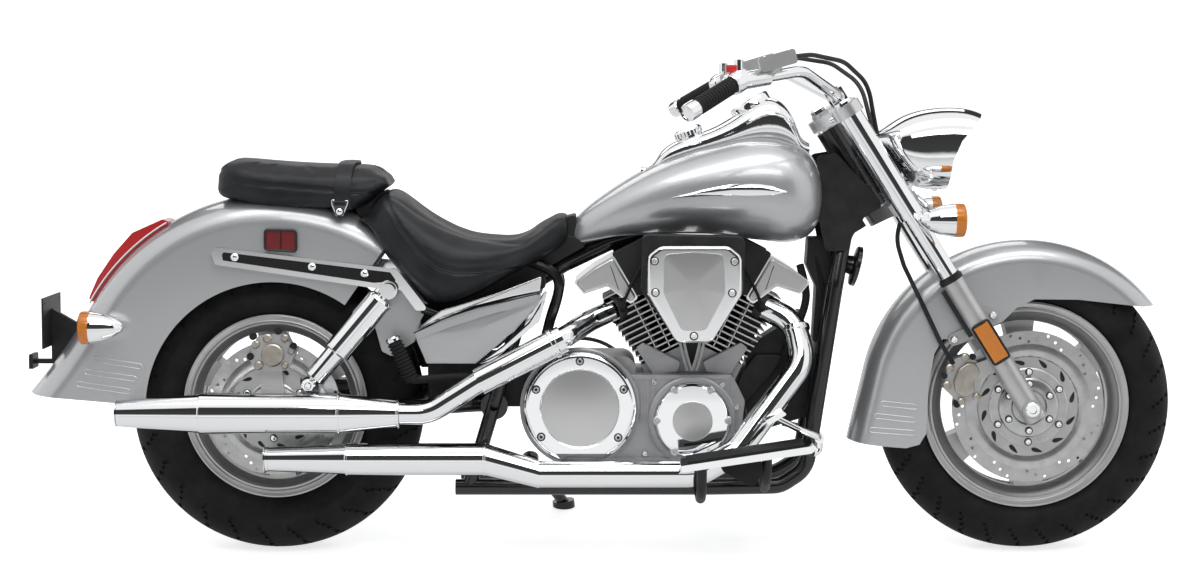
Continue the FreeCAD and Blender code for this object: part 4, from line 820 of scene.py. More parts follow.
def finish_pad(pad, node, body):
    """Divide once, park it, dress it in leather and let it stand for its solid."""
    pad.data.update()
    divide = pad.modifiers.new("divide", "SUBSURF")
    divide.levels = 1
    divide.render_levels = 1
    bpy.context.view_layer.update()
    fine = bpy.data.meshes.new_from_object(pad.evaluated_get(bpy.context.evaluated_depsgraph_get()))
    pad.modifiers.clear()
    pad.data = fine
    fine.transform(PARK @ Matrix.Scale(1 / MM, 4))
    fine.materials.clear()
    fine.materials.append(leather)
    fine.shade_smooth()
    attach(pad, body)
    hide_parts(node)
    print(pad.name, "faces", len(fine.polygons))
    return pad


rider = foam("seat_rider", "rider_seat", 0.004)
for v in rider.data.vertices:
    x, y, z = v.co / MM
    dish = smooth_step(x, 250, 360) * (1 - smooth_step(x, 520, 610)) * (1 - smooth_step(abs(y), 20, 118))
    ridge = smooth_step(x, 235, 300) * (1 - smooth_step(x, 560, 620))
    if v.normal.z > 0.1:
        v.co.z -= (13 * dish + 2.5 * ridge * math.exp(-((abs(y) - 112) / 9) ** 2)) * MM
SIDE_SEAM = [(240, 812), (256, 786), (288, 725), (334, 667), (374, 639), (413, 630), (456, 631), (516, 636),
             (547, 636), (578, 631), (600, 640)]
rider.data.update()
sew(rider, SIDE_SEAM, 2.6, 5.5, 60)
finish_pad(rider, "rider_seat", "frame")

pillion = foam("seat_pillion", "pillion_seat", 0.004)
PILLION_SEAM = [(-130, 856), (-110, 842), (-80, 829), (-18, 820), (58, 814), (139, 808), (170, 803),
                (243, 800), (262, 812)]
sew(pillion, PILLION_SEAM, 2.4, 5.0, 30)
finish_pad(pillion, "pillion_seat", "frame")

# %% [markdown]
# A thin welt runs along each seam, standing just out of the valley. Its line is found by shooting rays at
# the finished pad from the side, so it lies on the leather wherever the swell has put it.

# %% Find the skin of a piece with rays
def skin_of(thing):
    """A search tree of a piece's faces in the machine's millimetres."""
    shape = bmesh.new()
    shape.from_mesh(thing.data)
    bmesh.ops.transform(shape, matrix=UNPARK, verts=shape.verts)
    tree = BVHTree.FromBMesh(shape)
    shape.free()
    return tree


def hit(tree, start, direction, lift=0.0):
    """Where a ray meets the skin, lifted off it along the surface normal."""
    place, normal, _, _ = tree.ray_cast(Vector(start), Vector(direction).normalized())
    if place is None:
        return None
    if normal.dot(Vector(direction)) > 0:
        normal = -normal
    return place + normal * lift


def cord_mesh(shape, points, radius, sides=8, closed=False):
    """Add a round bead along a smooth curve to a mesh."""
    line = bpy.data.curves.new("line", "CURVE")
    line.dimensions = "3D"
    line.bevel_depth = radius
    line.bevel_resolution = max(0, sides // 4 - 1)
    line.resolution_u = 4
    line.use_fill_caps = True
    spline = line.splines.new("NURBS")
    spline.points.add(len(points) - 1)
    for target, point in zip(spline.points, points):
        target.co = (*point, 1)
    spline.order_u = 3
    spline.use_endpoint_u = not closed
    spline.use_cyclic_u = closed
    holder = bpy.data.objects.new("line", line)
    bpy.context.scene.collection.objects.link(holder)
    bpy.context.view_layer.update()
    mesh = bpy.data.meshes.new_from_object(holder.evaluated_get(bpy.context.evaluated_depsgraph_get()))
    shape.from_mesh(mesh)
    bpy.data.objects.remove(holder)
    bpy.data.curves.remove(line)
    bpy.data.meshes.remove(mesh)


def dense(path, gap=14):
    """More points along a line, evenly spaced."""
    out = [tuple(path[0])]
    for start, end in zip(path, path[1:]):
        start, end = Vector(start), Vector(end)
        count = max(1, int((end - start).length / gap))
        out += [tuple(start.lerp(end, i / count)) for i in range(1, count + 1)]
    return out


welt = bmesh.new()
for pad, path in ((rider, SIDE_SEAM[1:-1]), (pillion, PILLION_SEAM[1:-1])):
    tree = skin_of(pad)
    for side in (-1, 1):
        spots = [hit(tree, (x, side * 400, z), (0, -side, 0), 0.1) for x, z in dense(path)]
        cord_mesh(welt, [p for p in spots if p], 1.3)
settle("seat_welts", welt, leather, "frame")

# %% [markdown]
# The passenger's strap is laid the same way. Rays come in from both sides and from above towards the pad's
# middle, row by row, and the strip of points they find is filled with faces and given its thickness.

# %% Strap over the pillion pad
STRAP_HALF = 17.0
STRAP_MIDDLE = Vector((158, 0, 812))
STRAP_ROWS = 40
strap = bmesh.new()
pad_skin = skin_of(pillion)
rows = []
for step in range(STRAP_ROWS + 1):
    turn = math.radians(-22 + 224 * step / STRAP_ROWS)
    aim = Vector((0, math.cos(turn), math.sin(turn)))
    row = []
    for across in (-1, -0.5, 0, 0.5, 1):
        middle = STRAP_MIDDLE + Vector((STRAP_HALF * across + 10 * max(0.0, math.sin(turn)), 0, 0))
        spot = hit(pad_skin, middle + aim * 300, -aim, 4.2 - abs(across) * 0.8)
        row.append(strap.verts.new(spot or middle + aim * 100))
    rows.append(row)
for a, b in zip(rows, rows[1:]):
    for i in range(4):
        strap.faces.new((a[i], a[i + 1], b[i + 1], b[i]))
bmesh.ops.recalc_face_normals(strap, faces=strap.faces)
bmesh.ops.solidify(strap, geom=strap.faces, thickness=-4.5)
settle("pillion_strap", strap, leather, "frame", sharp=50)

# %% [markdown]
# Many parts of the machine are castings or pressings that are drawn in side view and pulled out sideways.
# One function does that: it rounds the outline's corners, fills it, extrudes it, and rolls its outer edge
# with an edge bevel. A second makes a thin plate whose face swells, and two more turn a socket-head bolt
# and a washer on the lathe.

# %% Plates and bolts
DOME_SHARES = (1.0, 0.985, 0.82, 0.66, 0.50, 0.34, 0.18)


def widest_face(shape, y):
    """The largest face that lies at a height across the machine."""
    flat = [f for f in shape.faces if abs(f.calc_center_median().y - y) < 0.05]
    return max(flat, key=lambda f: f.calc_area())


def rounded(points, radius, rounds=5):
    """Replace each corner of a closed outline by a short arc of points, as wide as its edges allow."""
    out = []
    count = len(points)
    for i in range(count):
        before, here, after = (Vector(points[(i + k) % count]) for k in (-1, 0, 1))
        to_before, to_after = before - here, after - here
        turn = to_before.angle(to_after) / 2
        reach = min(radius / math.tan(turn), to_before.length * 0.48, to_after.length * 0.48)
        start = here + to_before.normalized() * reach
        end = here + to_after.normalized() * reach
        for step in range(rounds + 1):
            share = step / rounds
            out.append(start * (1 - share) ** 2 + here * 2 * share * (1 - share) + end * share ** 2)
    return [(p.x, p.y) for p in out]


def side_plate(shape, points, y0, y1, corner=0.0, roll=0.0):
    """Pull a side-view outline out from y0 to y1 and give back its outer face."""
    outline = rounded(points, corner) if corner else points
    face = shape.faces.new([shape.verts.new((x, y0, z)) for x, z in outline])
    grown = bmesh.ops.extrude_face_region(shape, geom=[face])
    moved = [g for g in grown["geom"] if isinstance(g, bmesh.types.BMVert)]
    bmesh.ops.translate(shape, vec=(0, y1 - y0, 0), verts=moved)
    front = widest_face(shape, y1)
    if roll:
        bmesh.ops.bevel(shape, geom=list(front.edges), offset=roll, offset_type="OFFSET", affect="EDGES",
                        segments=4, profile=0.5, material=-1)
        front = widest_face(shape, y1)
        bmesh.ops.inset_individual(shape, faces=[front], thickness=min(1.0, roll * 0.5), depth=0)
    return front


def domed(shape, outline, y, step, rise, side):
    """A thin plate whose outer face swells gently toward its middle."""
    middle = Vector((sum(x for x, z in outline) / len(outline), sum(z for x, z in outline) / len(outline)))
    rings = [[shape.verts.new((x, y, z)) for x, z in outline]]
    for share in DOME_SHARES:
        lift = step * (share < 1) + rise * (1 - share ** 2)
        spread = [(middle.x + (x - middle.x) * share, middle.y + (z - middle.y) * share) for x, z in outline]
        rings.append([shape.verts.new((x, y + side * lift, z)) for x, z in spread])
    for low, high in zip(rings, rings[1:]):
        for i in range(len(outline)):
            k = (i + 1) % len(outline)
            shape.faces.new((low[i], low[k], high[k], high[i]))
    shape.faces.new(rings[-1])


def bolt(shape, center, axis, radius=6.0, height=5.0):
    """A round bolt head with a socket."""
    lathe(shape, [(-2, 0), (-2, radius), (height * 0.65, radius), (height, radius * 0.78),
                  (height, radius * 0.48), (height * 0.45, radius * 0.44), (height * 0.45, 0)],
          center, axis, steps=14)


def washer(shape, center, axis, radius=9.5, height=3.0):
    """A plain disc, for under a bolt."""
    lathe(shape, [(0, 0), (0, radius), (height, radius), (height, 0)], center, axis, steps=24)


CRANK = Vector((924, 0, 303))


def mirrored(points):
    """The same side-view points on the other bank of the engine."""
    return [(2 * CRANK.x - x, z) for x, z in points]


print("crankshaft at", [round(v) for v in CRANK])

# %% [markdown]
# The air cleaner sits in the vee, a shield of chrome with a satin middle and five bolts. The shield is one
# plate with a generously rolled edge, and the middle is a second one that swells a little. Behind it the
# black duct and the insides of the vee are plain plates.

# %% Air cleaner
SHIELD = [(823, 672), (851, 693), (998, 693), (1026, 670), (1027, 590), (962, 484), (886, 484), (822, 590)]
cleaner = bmesh.new()
side_plate(cleaner, SHIELD, -198, -233, corner=24, roll=8)
settle("air_cleaner_cover", cleaner, [chrome], "frame", stands_for=("air_cleaner",))

MIDDLE = [(857, 676), (920, 681), (988, 676), (991, 591), (948, 510), (896, 510), (857, 591)]
face_plate = bmesh.new()
domed(face_plate, rounded(MIDDLE, 16), -232, 2.0, 3.2, -1)
settle("air_cleaner_middle", face_plate, satin, "frame")

backing = bmesh.new()
side_plate(backing, [(810, 594), (812, 716), (1034, 712), (1032, 594), (966, 490), (883, 490)], -150, -197,
           corner=18, roll=3)
side_plate(backing, [(880, 560), (880, 680), (969, 680), (969, 560)], -60, -150, corner=12)
VEE_WALL = [(748, 668), (822, 706), (822, 575), (800, 575)]
for points in (VEE_WALL, mirrored(VEE_WALL)):
    for side in (-1, 1):
        side_plate(backing, points, side * 58, side * 84, corner=6, roll=2)
settle("air_cleaner_back", backing, plastic, "frame")

cleaner_bolts, cleaner_rings = empty_shapes(2)
for x, z in ((838, 661), (1010, 660), (840, 593), (1005, 592), (923, 499)):
    bolt(cleaner_bolts, (x, -232, z), (0, -1, 0), 7.0, 6)
    washer(cleaner_rings, (x, -231.0, z), (0, -1, 0))
settle("air_cleaner_bolts", cleaner_bolts, chrome, "frame")
settle("air_cleaner_washers", cleaner_rings, plastic, "frame")

# %% [markdown]
# The cylinders are black with the edges of their fins machined bright, and each has one bright line across
# the fins where they are tied together. Thin strips lie on the fin edges of the solid, on both sides of the
# engine.

# %% Bright fin edges
FIN_FIRST, FIN_PITCH, FIN_COUNT, FIN_THICK, FIN_Y = 160, 13.4, 13, 3.0, 76
VEE_HALF = math.radians(26)


def bar(shape, size, place):
    """A box of a size about a place."""
    made = bmesh.ops.create_cube(shape, size=1.0)["verts"]
    bmesh.ops.scale(shape, vec=size, verts=made)
    bmesh.ops.translate(shape, vec=place, verts=made)
    return made


edges = bmesh.new()
for bank in (-1, 1):
    tilt = Matrix.Rotation(bank * VEE_HALF, 4, "Y")
    for i in range(FIN_COUNT):
        half = 50 + 12 * min(1.0, i / 6.0)
        high = FIN_FIRST + i * FIN_PITCH + FIN_THICK / 2
        for side in (-1, 1):
            made = bar(edges, (2 * half, 1.2, FIN_THICK + 0.3), (0, side * (FIN_Y + 0.5), high))
            bmesh.ops.transform(edges, matrix=Matrix.Translation(CRANK) @ tilt, verts=made)
    for side in (-1, 1):
        for across in (-4, 26):
            made = bar(edges, (2.2, 1.4, FIN_PITCH * (FIN_COUNT - 1)),
                       (across * -bank, side * (FIN_Y + 0.4), FIN_FIRST + FIN_PITCH * (FIN_COUNT - 1) / 2))
            bmesh.ops.transform(edges, matrix=Matrix.Translation(CRANK) @ tilt, verts=made)
settle("fin_edges", edges, satin, "frame")

# %% [markdown]
# The two round covers on the right are chrome with a brushed disc in the middle, and the big clutch cover
# is cut flat along its foot. Each is turned on the lathe. The small one's bolts stand on round lugs at its
# rim, and the big one's flat is cut with a bisecting plane and closed again.

# %% Engine side covers
CASE_HALF = 118
CLUTCH = Vector((677, 0, 331))
SMALL_COVER = [(0, 0), (0, 83), (18, 83), (23, 81), (26, 77), (27, 46), (27, 44), (30, 43), (30.6, 30),
               (31.4, 15), (31.8, 0)]
BIG_COVER = [(0, 0), (0, 124), (22, 124), (28, 122.5), (32, 118), (33, 116.5), (33.2, 112), (33.2, 88),
             (31, 85), (29.5, 84), (31.5, 62), (34, 34), (35, 0)]
COVER_FLAT = 232
round_covers = bmesh.new()
lathe(round_covers, SMALL_COVER, (CRANK.x, -CASE_HALF, CRANK.z), (0, -1, 0), steps=72)
big = bmesh.new()
lathe(big, BIG_COVER, (CLUTCH.x, -CASE_HALF, CLUTCH.z), (0, -1, 0), steps=96)
cut = bmesh.ops.bisect_plane(big, geom=big.verts[:] + big.edges[:] + big.faces[:],
                             plane_co=(CLUTCH.x, 0, COVER_FLAT), plane_no=(0, 0, -1), clear_outer=True)
bmesh.ops.contextual_create(big, geom=[g for g in cut["geom_cut"] if isinstance(g, bmesh.types.BMEdge)])
for shape, middle, reach in ((round_covers, CRANK, 43.5), (big, CLUTCH, 84.5)):
    for face in shape.faces:
        where = face.calc_center_median()
        if math.hypot(where.x - middle.x, where.z - middle.z) < reach and where.y < -CASE_HALF - 25:
            face.material_index = 1
settle("cover_small", round_covers, [chrome, satin], "frame", stands_for=("engine_covers",))
settle("cover_big", big, [chrome, satin], "frame")

cover_bolts, cover_rings = empty_shapes(2)
for degrees in range(0, 360, 60):
    turn = math.radians(degrees)
    spot = (CRANK.x + 76 * math.cos(turn), -CASE_HALF, CRANK.z + 76 * math.sin(turn))
    lathe(cover_bolts, [(0, 0), (0, 11), (24, 11), (26, 9), (26, 0)], spot, (0, -1, 0), steps=20)
    bolt(cover_bolts, (spot[0], -CASE_HALF - 25, spot[2]), (0, -1, 0), 6.0, 5)
for degrees in (24, 90, 156, 216, 323):
    turn = math.radians(degrees)
    spot = (CLUTCH.x + 105 * math.cos(turn), -CASE_HALF - 32, CLUTCH.z + 105 * math.sin(turn))
    bolt(cover_bolts, spot, (0, -1, 0), 7.0, 6)
    washer(cover_rings, spot, (0, -1, 0))
settle("cover_bolt_rings", cover_rings, plastic, "frame")
settle("cover_bolts", cover_bolts, satin, "frame")

# %% [markdown]
# The left side of the engine has one round cover over the flywheel, with a raised chrome rim and a brushed
# middle. It is the mirror of the right in spirit only, with six bolts round its edge.

# %% Left engine cover and crankcase fittings
left_cover = bmesh.new()
lathe(left_cover, [(0, 0), (0, 96), (28, 96), (35, 93), (39, 87), (40, 84), (40, 54), (38, 52), (37, 48),
                   (37, 0)], (CRANK.x, CASE_HALF, CRANK.z), (0, 1, 0), steps=72)
for face in left_cover.faces:
    where = face.calc_center_median()
    if where.y > CASE_HALF + 36.5 and math.hypot(where.x - CRANK.x, where.z - CRANK.z) < 49:
        face.material_index = 1
settle("cover_left", left_cover, [chrome, satin], "frame")

fittings = bmesh.new()
for degrees in range(20, 380, 60):
    turn = math.radians(degrees)
    spot = (CRANK.x + 90 * math.cos(turn), CASE_HALF + 32, CRANK.z + 90 * math.sin(turn))
    bolt(fittings, spot, (0, 1, 0), 6.5, 7)
for x, z in ((625, 380), (840, 385), (990, 380), (1022, 330), (1012, 258), (820, 228), (770, 395)):
    for side in (-1, 1):
        bolt(fittings, (x, side * CASE_HALF, z), (0, side, 0), 7.0, 6)
settle("case_bolts", fittings, satin, "frame")

# %% [markdown]
# The crankcase is one cast block whose joints show as raised seams. Ribs run down its face between the two
# covers, a raised rim stands round each cover, and the cylinders' feet and two ridges rise into the vee.
# All of it stands a few millimetres proud of the flat sides.

# %% Ribs and rims on the crankcase
CYLINDER_FOOT = [(838, 400), (800, 458), (816, 470), (900, 428), (892, 404)]
RIDGE = [(898, 470), (904, 440), (914, 408)]
TOP_SEAM = [(600, 402), (600, 392), (1004, 392), (1012, 402)]
FOOT_SEAM = [(640, 208), (650, 220), (976, 217), (982, 205)]
case = bmesh.new()
for side in (-1, 1):
    for x, top, foot in ((812, 392, 300), (826, 396, 262), (838, 398, 250), (1010, 392, 366),
                         (798, 396, 320)):
        bar(case, (4, 5, top - foot), (x, side * (CASE_HALF + 1.5), (top + foot) / 2))
    for seam in (TOP_SEAM, FOOT_SEAM):
        side_plate(case, seam, side * (CASE_HALF - 1), side * (CASE_HALF + 3), corner=3, roll=1)
    for x, z, inner, outer in ((CRANK.x, CRANK.z, 83, 97), (CLUTCH.x, CLUTCH.z, 124, 132)):
        lathe(case, [(-2, inner), (9, inner), (11, inner + 2), (11, outer - 4), (8, outer), (-2, outer)],
              (x, side * CASE_HALF, z), (0, side, 0), steps=80)
    for bank in (-1, 1):
        points = CYLINDER_FOOT if bank < 0 else mirrored(CYLINDER_FOOT)
        side_plate(case, points, side * 70, side * 88, corner=6, roll=2)
        for shift in (0, 9):
            line = [(x + shift, z) for x, z in RIDGE]
            line = line if bank < 0 else mirrored(line)
            cord_mesh(case, [(x, side * 92, z) for x, z in line], 3.4)
settle("case_ribs", case, grey, "frame")

# %% [markdown]
# Each rocker cover has a smooth bright shell over the black head, with one fine crease near its inner edge;
# the crease is a thin black cord, which is painted shade.
# The plug wire leaves through a small boot beside it and bends up under the tank.

# %% Rocker cover faces
ROCKER_CREASE = [(762, 588), (757, 602), (751, 622), (744, 641)]
ROCKER = [(667, 604), (687, 581), (737, 598), (789, 561), (801, 571), (749, 658), (709, 635)]
covers_shape, crease_shades, boots = empty_shapes(3)
for bank in (-1, 1):
    points = ROCKER if bank < 0 else mirrored(ROCKER)
    for side in (-1, 1):
        side_plate(covers_shape, points, side * 80, side * 93, corner=9, roll=4)
        crease = [Vector((x if bank < 0 else 2 * CRANK.x - x, side * 93, z)) for x, z in ROCKER_CREASE]
        # A thin black cord along the crease: painted shade.
        cord_mesh(crease_shades, crease, 1.0)
        bx = 771 if bank < 0 else 2 * CRANK.x - 771
        lathe(boots, [(0, 0), (0, 11), (16, 10), (22, 7), (30, 6), (30, 0)], (bx, side * 84, 548),
              (0, side, 0.25), steps=20)
        arch = [Vector((bx, side * 110, 556)), Vector((bx + bank * -14, side * 112, 590)),
                Vector((bx + bank * -40, side * 92, 640)), Vector((bx + bank * -70, side * 50, 668))]
        cord_mesh(boots, arch, 3.6)
settle("rocker_faces", covers_shape, satin, "frame")
settle("rocker_crease_shade", crease_shades, heat_black, "frame")
settle("plug_wires", boots, grip_rubber, "frame")

# %% [markdown]
# The tank is two pressed halves welded along a flange that follows its lower edge. The flange's line is
# found by shooting rays at the tank's side, so it lies on the metal. A plain chrome spear lies on the
# widest part of the side the same way.

# %% Tank flange and side spear
tank_skin = skin_of(nodes["fuel_tank"])


def ribbon(shape, tree, path, widths, side, lift, aim=(0, -1, 0)):
    """A strip laid on a surface along a side-view path, as wide as the list says."""
    rows = []
    spots = dense(path, 9)
    for i, (x, z) in enumerate(spots):
        ahead = spots[min(i + 1, len(spots) - 1)]
        behind = spots[max(i - 1, 0)]
        run = Vector((ahead[0] - behind[0], ahead[1] - behind[1])).normalized()
        across = Vector((-run.y, run.x))
        share = i / (len(spots) - 1)
        place = share * (len(widths) - 1)
        low = min(int(place), len(widths) - 2)
        wide = widths[low] + (widths[low + 1] - widths[low]) * (place - low)
        row = []
        for step, high in ((-1, 0.15), (-0.5, 0.8), (0, 1), (0.5, 0.8), (1, 0.15)):
            px = x + across.x * wide * step
            pz = z + across.y * wide * step
            spot = hit(tree, (px, side * 420, pz), (0, -side, 0), lift * high)
            row.append(spot)
        if all(row):
            rows.append([shape.verts.new(p) for p in row])
    for a, b in zip(rows, rows[1:]):
        for i in range(4):
            shape.faces.new((a[i], a[i + 1], b[i + 1], b[i]))
    return rows


flange, spear = empty_shapes(2)
FLANGE = [(664, 690), (700, 697), (747, 706), (848, 711), (967, 712), (1062, 700), (1120, 697), (1160, 702)]
SPEAR = [(880, 793), (940, 803), (1010, 811), (1070, 811), (1125, 806)]
for side in (-1, 1):
    line = [hit(tank_skin, (x, side * 420, z), (0, -side, 0), 1.0) for x, z in dense(FLANGE, 12)]
    cord_mesh(flange, [p for p in line if p], 2.4)
    ribbon(spear, tank_skin, SPEAR, [1.2, 3.5, 6, 8.5, 11, 12.5, 13, 12, 8, 2], side, 4.5)
settle("tank_flange", flange, paint, "frame")
settle("tank_spear", spear, chrome, "frame")

# %% [markdown]
# On top of the tank the console carries the speedometer. A round glass lies in a bezel that looks back and
# up at the rider. Behind it is the filler cap, a turned disc with a knurled edge.

# %% Console, instrument and filler cap
console_skin = skin_of(nodes["tank_console"])
dial_axis = Vector((-0.52, 0, 0.854)).normalized()
dial_spot = hit(console_skin, Vector((1052, 0, 1000)) + dial_axis * 60, -dial_axis) or Vector((1052, 0, 985))
dial = bmesh.new()
glass = bmesh.new()
lathe(dial, [(-16, 0), (-16, 47), (4, 47), (8, 44.5), (8, 41), (3, 39), (3, 0)], dial_spot, dial_axis,
      steps=64)
lathe(glass, [(3.2, 38.5), (6.5, 30), (8, 15), (8.4, 0)], dial_spot, dial_axis, steps=48)
settle("speedo_bezel", dial, [chrome], "frame")
settle("speedo_glass", glass, clear, "frame")
face = bmesh.new()
lathe(face, [(3.4, 0), (3.4, 38.6)], dial_spot, dial_axis, steps=48)
settle("speedo_face", face, plastic, "frame")


def dial_way(degrees):
    """A direction in the dial's face."""
    across = Vector((0, 1, 0))
    turn = math.radians(degrees)
    return across * math.cos(turn) + dial_axis.cross(across) * math.sin(turn)


def on_dial(way, out, rise):
    """The place of a mark that points along way, out from the dial's middle and above its foot."""
    turn = Matrix((way, dial_axis.cross(way), dial_axis)).transposed().to_4x4()
    return Matrix.Translation(dial_spot + dial_axis * rise + way * out) @ turn


marks = bmesh.new()
for i in range(25):
    long = 6 if i % 2 == 0 else 3.5
    made = bar(marks, (long, 0.9, 0.3), (0, 0, 0))
    bmesh.ops.transform(marks, matrix=on_dial(dial_way(-30 + 10 * i), 35 - long / 2, 3.9), verts=made)
needle = bar(marks, (26, 1.4, 0.5), (11, 0, 0))
bmesh.ops.transform(marks, matrix=on_dial(dial_way(210), 0, 4.6), verts=needle)
white_mark = finish("dial_marks", (0.85, 0.85, 0.83), 0.5)
vary(white_mark, rough=((400, 2.0), 0.4, 0.6))
settle("speedo_marks", marks, white_mark, "frame")

cap_axis = Vector((-0.36, 0, 0.93)).normalized()
cap_foot = Vector((930, 0, 900)) + cap_axis * 42
cap = bmesh.new()
lathe(cap, [(-14, 30), (-13, 33), (-3, 33), (1, 30), (3, 26), (3, 0)], cap_foot, cap_axis, steps=60)
ring = [e for e in cap.edges if abs((e.verts[0].co - e.verts[1].co).dot(cap_axis)) > 8]
for index, edge in enumerate(sorted(ring, key=lambda e: math.atan2(*((e.verts[0].co - cap_foot).yx)))):
    if index % 2:
        for v in edge.verts:
            axial = cap_axis * (v.co - cap_foot).dot(cap_axis)
            v.co -= (v.co - cap_foot - axial).normalized() * 1.1
settle("filler_cap", cap, chrome, "frame")

# %% [markdown]
# The side covers are painted, with a chrome band along the top, where the seat's edge meets it, and a chrome
# trim up the front. Beside each runs a thin black cord, a painted shadow of the trim. The plates start inside
# the solid's own raised band, so they hide it, and end a little proud of it. A bolted boss carries the top of
# each shock absorber.

# %% Side cover trims
BAND = [(313, 500), (375, 531), (438, 555), (530, 578), (590, 590), (594, 622), (508, 589), (374, 547)]
TRIM = [(450, 427), (508, 467), (566, 519), (588, 553), (594, 568), (600, 564), (590, 524), (487, 436)]
PANEL = [(322, 482), (341, 430), (449, 430), (503, 475), (561, 530), (587, 564), (517, 546), (456, 545),
         (414, 531), (322, 495)]
SHADOW_LINES = [(147.8, [(458, 433), (512, 471), (570, 524), (592, 562)]),
                (147.4, [(314, 497), (376, 527), (439, 550), (590, 584)])]
bands, lines, panels = empty_shapes(3)
for side in (-1, 1):
    domed(panels, rounded(PANEL, 6), side * 145, 0.8, 3.4, side)
    side_plate(bands, BAND, side * 138, side * 150.4, corner=4, roll=1.6)
    side_plate(bands, TRIM, side * 128, side * 147.6, corner=3, roll=1.2)
    # Thin black cords beside the band and the trim are painted shadow, in the grip rubber's finish.
    for y, path in SHADOW_LINES:
        cord_mesh(lines, dense([(x, side * y, z) for x, z in path], 14), 1.5)
    lathe(bands, [(0, 0), (0, 21), (4, 21), (7, 18), (7, 13), (5, 12), (5, 0)], (259, side * 128, 591),
          (0, side, 0), steps=36)
    bolt(bands, (259, side * 132, 591), (0, side, 0), 9, 8)
settle("side_cover_trims", bands, chrome, "frame")
settle("side_cover_panels", panels, paint, "frame")
settle("side_cover_painted_shadows", lines, grip_rubber, "frame")

# %% [markdown]
# The chrome rails beside the rear fender have a black rubber insert held by three domed screws. A red
# reflector in a dark frame stands over each rail, and an inner skirt closes the fender beside the tyre. The
# fender's tail has three short pressed ribs, and the front fender has three more; they are laid on the
# painted skin by shooting rays at it.

# %% Rail inserts, reflector frames, skirts and fender ribs
INSERT = [(-128, 664), (-121, 677), (-104, 680.5), (262, 636), (280, 610), (226, 598), (-108, 647),
          (-124, 652)]
SKIRT = [(250, 596), (300, 592), (345, 556), (326, 520), (313, 474), (262, 441), (240, 452), (225, 506)]
skirts, inserts, screws, frames, ribs, front_ribs = empty_shapes(6)
rear_skin = skin_of(nodes["rear_fender"])
front_skin = skin_of(nodes["front_fender"])
RIBS = [(rear_skin, -392, 437, -289, 420), (rear_skin, -409, 409, -302, 393),
        (rear_skin, -429, 382, -317, 365)]
FRONT_RIBS = [(front_skin, 1346, 334, 1421, 326), (front_skin, 1333, 306, 1417, 297),
              (front_skin, 1322, 275, 1417, 268)]
for side in (-1, 1):
    side_plate(skirts, SKIRT, side * 97, side * 101, corner=10, roll=1)
    side_plate(inserts, INSERT, side * 124, side * 128.2, corner=5, roll=0.8)
    for x, z in ((-78, 662), (91, 641), (206, 626)):
        lathe(screws, [(0, 0), (0, 9), (3, 8.6), (5.4, 6), (6.6, 2.5), (6.8, 0)], (x, side * 127.5, z),
              (0, side, 0), steps=24)
    for shape, group in ((ribs, RIBS), (front_ribs, FRONT_RIBS)):
        for skin, x0, z0, x1, z1 in group:
            run = Vector((x1 - x0, z1 - z0)).normalized()
            across = Vector((-run.y, run.x)) * 5.5
            loop = [(x0 + across.x, z0 + across.y), (x1 + across.x, z1 + across.y),
                    (x1 + run.x * 5, z1 + run.y * 5), (x1 - across.x, z1 - across.y),
                    (x0 - across.x, z0 - across.y), (x0 - run.x * 5, z0 - run.y * 5)]
            ring = dense(loop + loop[:1], 9)[:-1]
            points = [hit(skin, (x, side * 420, z), (0, -side, 0), 0.0) for x, z in ring]
            kept = [p for p in points if p]
            if len(kept) > 12:
                cord_mesh(shape, kept, 1.5, closed=True)
    lathe(frames, [(0, 0), (0, 12), (5.4, 12), (5.4, 0)], (259, side * 128, 591), (0, side, 0), steps=36)
    pad = [(-12, 678), (56, 674), (56, 720), (-12, 722)]
    corners = [Vector((x, side * 125, z)) for x, z in pad]
    cord_mesh(frames, dense(corners + corners[:1], 12)[:-1], 3.0, closed=True)
    cord_mesh(frames, [Vector((23, side * 125.3, 677)), Vector((23, side * 125.3, 720))], 1.4)
settle("rail_inserts", inserts, grip_rubber, "frame")
settle("rail_screws", screws, chrome, "frame")
settle("inner_fender_skirts", skirts, paint, "frame")
settle("reflector_frames", frames, plastic, "frame")
settle("rear_fender_ribs", ribs, paint, "frame")
settle("front_fender_ribs", front_ribs, paint, "steering")

# %% [markdown]
# The tail lamp has a chrome line where it meets the fender, and every signal lamp is an amber cap on a
# chrome bowl. The line is a cord round the fender's own radius, and the caps are turned on the lathe. The
# strap ends in a chrome frame round a dark hasp, with a domed pin below.

# %% Lamp trims and the strap's buckle
TAIL_R, TAIL_FROM, TAIL_TO = 472.5, 120.5, 151.0
trims = bmesh.new()
for side in (-1, 1):
    turns = [math.radians(TAIL_FROM + (TAIL_TO - TAIL_FROM) * i / 16) for i in range(17)]
    arc = [(TAIL_R * math.cos(t), side * 49.5, REAR_AXLE.z + TAIL_R * math.sin(t)) for t in turns]
    cord_mesh(trims, arc, 2.4)
settle("tail_lamp_trim", trims, chrome, "frame")

LENS_RING = [(-15, 34), (-15, 36.4), (2, 36.4), (6, 34), (9, 27), (10, 0)]
lenses = bmesh.new()
for side in (-1, 1):
    lathe(lenses, LENS_RING, (-405, side * 160, 510), (-1, 0, 0), steps=48)
settle("rear_signal_lenses", lenses, amber, "frame")

